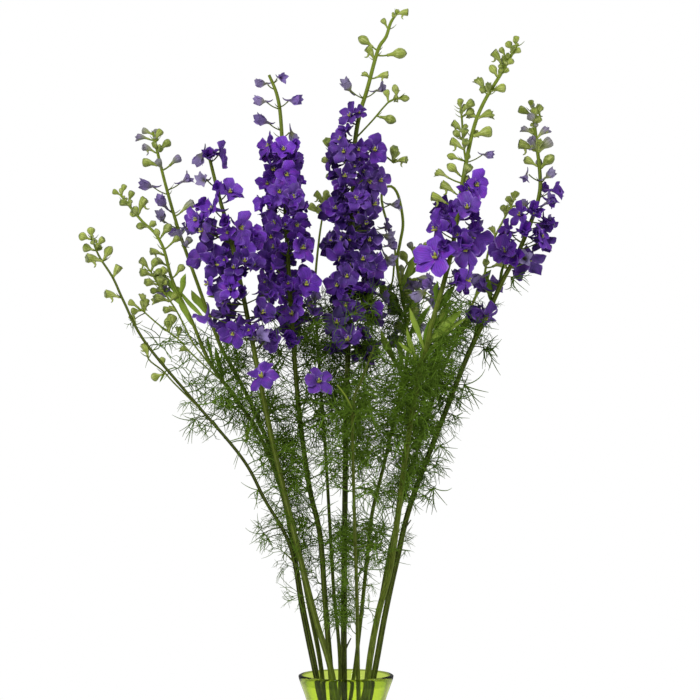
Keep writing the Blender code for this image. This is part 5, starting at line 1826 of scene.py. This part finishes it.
def stem_tints(name, points, index):
    """How light a stem is at its points: its foot keeps dark, partly as painted shade, well up into
    the bouquet.
    """
    low, high = STEM_LIGHT[name]
    if index:
        return [high * SHOOT_SHADE] * len(points)
    if name in SHOOTS_ONLY_LIGHT:
        return [low] * len(points)
    top = LAYOUT[name]["lines"][0][0][0].z
    bottom = place(VIEW_MIDDLE, DARK_UP_TO, 0).z
    return [low + (high - low) * held((point.z - bottom) / (top - bottom)) ** LIGHT_RISE
            for point in points]


LAYOUT = layout()


class BOUQUET_OT_vase(bpy.types.Operator):
    """Turn the glass vase with its flared lip"""
    bl_idname = "bouquet.vase"
    bl_label = "Vase"

    def execute(self, context):
        settings = context.scene.bouquet_vase
        scale = settings.height / (VASE_OUTSIDE[0][1] * MM)
        piece = turned("glass_vase", vase_profile(scale), settings.segments, glass_look(settings))
        stand_for(piece, "glass", "vase")
        return {"FINISHED"}


class BOUQUET_OT_water(bpy.types.Operator):
    """Fill the vase with water"""
    bl_idname = "bouquet.water"
    bl_label = "Water"

    def execute(self, context):
        settings = context.scene.bouquet_vase
        piece = turned("water_body", water_profile(settings.water_level), settings.segments,
                       water_look(settings))
        stand_for(piece, "water", "water")
        return {"FINISHED"}


class BOUQUET_OT_stems(bpy.types.Operator):
    """Grow the stems, their side shoots and the stalks of florets, buds and leaf fans"""
    bl_idname = "bouquet.stems"
    bl_label = "Stems"

    def execute(self, context):
        settings = context.scene.bouquet_plant
        look = stem_look(settings)
        rng = random.Random(21)
        for name, parts in LAYOUT.items():
            low, high = STEM_LIGHT[name]
            canes = [(points, radii, stem_tints(name, points, index))
                     for index, (points, radii) in enumerate(parts["lines"])]
            for stem, radius, path in TWIGS:
                if stem == name:
                    girths = [radius * MM * 0.6] + [radius * MM] * (len(path) - 1)
                    canes.append((spread(path), girths, [low] * len(path)))
            piece = tubes("cane_" + name, canes, settings.stem_step, settings.stem_sides, look)
            stand_for(piece, "stem", "stem_" + name)
            stalks = []
            main = parts["lines"][0]
            for centre, facing, _, foot in parts["florets"]:
                end = centre - facing * 0.002
                stalks.append(stalk_path(foot, end, -0.001, FLORET_STALK, high * 0.6))
                stalks.append(bract_path(foot, height_on(main, foot.z)[0], rng, high * 0.6))
            for foot, centre, _, _, _ in faded_places(name):
                stalks.append(stalk_path(foot, centre, -0.001, FLORET_STALK, high * 0.8))
            for foot, base, tip in parts["buds"]:
                stalks.append(bract_path(foot, height_on(main, foot.z)[0], rng, high))
                start = bud_start(foot, base, tip)
                if (start - foot).length > LEAST_STALK:
                    stalks.append(stalk_path(foot, start, -0.0005, BUD_STALK, high))
            for foot, hub, tint in spray_spots(name, random.Random(5))[1]:
                stalks.append(stalk_path(foot, hub, 0.001, FAN_STALK, tint * 0.6))
            if stalks:
                piece = tubes("stalks_" + name, stalks, STALK_STEP, STALK_SIDES, look)
                stand_for(piece, "stem", "stem_" + name)
        return {"FINISHED"}


class BOUQUET_OT_buds(bpy.types.Operator):
    """Set the green buds along the tips of the stems"""
    bl_idname = "bouquet.buds"
    bl_label = "Buds"

    def execute(self, context):
        look = bud_look(context.scene.bouquet_plant)
        rng = random.Random(31)
        home = keep_kinds("Bud kinds", [bud_kind(index, rng) for index in range(len(BUD_SHAPES))])
        for name, parts in LAYOUT.items():
            if parts["buds"]:
                spots = bud_spots(name, parts["buds"], rng)
                if name in TIP_BUDS:
                    spots += tip_buds(name, rng)
                piece = scatter("buds_" + name, spots, home, 0.12, look)
                stand_for(piece, "stem", "stem_" + name)
        drop_kinds(home)
        return {"FINISHED"}


class BOUQUET_OT_florets(bpy.types.Operator):
    """Open the violet florets round the flowering stems"""
    bl_idname = "bouquet.florets"
    bl_label = "Florets"

    def execute(self, context):
        settings = context.scene.bouquet_plant
        look = petal_look(settings)
        rng = random.Random(41)
        kinds = [floret_kind(index, settings.sepal_length, rng)
                 for index in range(len(FLORET_KINDS))]
        home = keep_kinds("Floret kinds", kinds)
        for name, parts in LAYOUT.items():
            spots = floret_spots(name, parts["florets"], rng) + faded_spots(name, rng)
            if spots:
                piece = scatter("florets_" + name, spots, home, 0.10, look)
                stand_for(piece, "petal", ("flowers_" if parts["florets"] else "stem_") + name)
        drop_kinds(home)
        return {"FINISHED"}


class BOUQUET_OT_leaves(bpy.types.Operator):
    """Grow the thread leaves up the stems and fill the bushes"""
    bl_idname = "bouquet.leaves"
    bl_label = "Leaves"

    def execute(self, context):
        settings = context.scene.bouquet_plant
        look = leaf_look(settings)
        rng = random.Random(51)
        kinds = [leaf_kind(index, settings.thread_girth, rng) for index in range(LEAF_KINDS)]
        kinds += [spray_kind(index, settings.fan_girth, rng) for index in range(SPRAY_KINDS)]
        kinds += [blade_kind(index, rng) for index in range(2 * BLADE_KINDS)]
        home = keep_kinds("Leaf kinds", kinds)
        extras = extra_leaves(rng)
        for name in STEMS:
            spots = leaf_spots(name, extras[name], rng)
            piece = scatter("leaves_" + name, spots, home, 0.08, look)
            stand_for(piece, "stem", "stem_" + name)
        drop_kinds(home)
        return {"FINISHED"}


class BOUQUET_OT_stage(bpy.types.Operator):
    """Add the pale floor, the soft lights and the camera"""
    bl_idname = "bouquet.stage"
    bl_label = "Stage"

    def execute(self, context):
        settings = context.scene.bouquet_stage
        scene = context.scene
        bm = bmesh.new()
        bmesh.ops.create_circle(bm, cap_ends=True, segments=96, radius=settings.floor_radius)
        floor = link(piece_of("floor", bm, floor_look()))

        world = bpy.data.worlds.new("Soft room")
        world.use_nodes = True
        tree = world.node_tree
        paths = put(tree, "ShaderNodeLightPath")
        seen = math_node(tree, "MAXIMUM", paths.outputs["Is Camera Ray"],
                         paths.outputs["Is Transmission Ray"])
        background = tree.nodes["Background"]
        background.inputs["Color"].default_value = whole_colour(ROOM_LIGHT)
        unseen = rescale(tree, paths.outputs["Is Glossy Ray"], 0, 1, settings.soft_light,
                         settings.gloss_light)
        strength = math_node(tree, "MAXIMUM", seen, unseen)
        tree.links.new(strength, background.inputs["Strength"])
        scene.world = world
        scene.view_settings.view_transform = "Standard"

        target = Vector((0.0, 0.0, 0.5))
        for name, spot, size, power in (
                ("key", Vector((-0.9, -1.6, 1.7)), 1.0, settings.key_light),
                ("side", Vector((1.7, -0.7, 1.0)), 0.9, settings.side_light)):
            lamp = bpy.data.lights.new(name, "AREA")
            lamp.size = size
            lamp.energy = power
            holder = link(bpy.data.objects.new(name, lamp))
            holder.location = spot
            holder.rotation_euler = (target - spot).to_track_quat("-Z", "Y").to_euler()

        eye = bpy.data.cameras.new("view")
        eye.sensor_width = 36.0
        eye.lens = eye.sensor_width * VIEW_DISTANCE / (2 * VIEW_MIDDLE)
        eye.clip_end = 20.0
        camera = link(bpy.data.objects.new("view", eye))
        camera.location = Vector((VIEW_ACROSS, -VIEW_DISTANCE, VIEW_HEIGHT)) * MM
        camera.rotation_euler = (math.radians(90), 0, 0)
        scene.camera = camera
        return {"FINISHED"}


class BOUQUET_PT_panel(bpy.types.Panel):
    """The sidebar's list of steps"""
    bl_label = "Larkspur bouquet"
    bl_idname = "BOUQUET_PT_panel"
    bl_space_type = "VIEW_3D"
    bl_region_type = "UI"
    bl_category = "Bouquet"

    def draw(self, context):
        for step in STEPS:
            self.layout.operator(step.bl_idname)
        for label in SETTINGS:
            settings = getattr(context.scene, label)
            box = self.layout.box()
            for name in settings.__annotations__:
                box.prop(settings, name)


SETTINGS = {"bouquet_vase": VaseSettings, "bouquet_plant": PlantSettings,
            "bouquet_stage": StageSettings}
STEPS = (BOUQUET_OT_vase, BOUQUET_OT_water, BOUQUET_OT_stems, BOUQUET_OT_buds,
         BOUQUET_OT_florets, BOUQUET_OT_leaves, BOUQUET_OT_stage)
CLASSES = (*SETTINGS.values(), *STEPS, BOUQUET_PT_panel)


def register():
    for owner in CLASSES:
        bpy.utils.register_class(owner)
    for label, kind in SETTINGS.items():
        setattr(bpy.types.Scene, label, bpy.props.PointerProperty(type=kind))


def unregister():
    for label in SETTINGS:
        delattr(bpy.types.Scene, label)
    for owner in reversed(CLASSES):
        bpy.utils.unregister_class(owner)


def main():
    register()
    bpy.ops.bouquet.vase()
    bpy.ops.bouquet.water()
    bpy.ops.bouquet.stems()
    bpy.ops.bouquet.buds()
    bpy.ops.bouquet.florets()
    bpy.ops.bouquet.leaves()
    bpy.ops.bouquet.stage()
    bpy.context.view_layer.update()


if __name__ == "__main__":
    main()
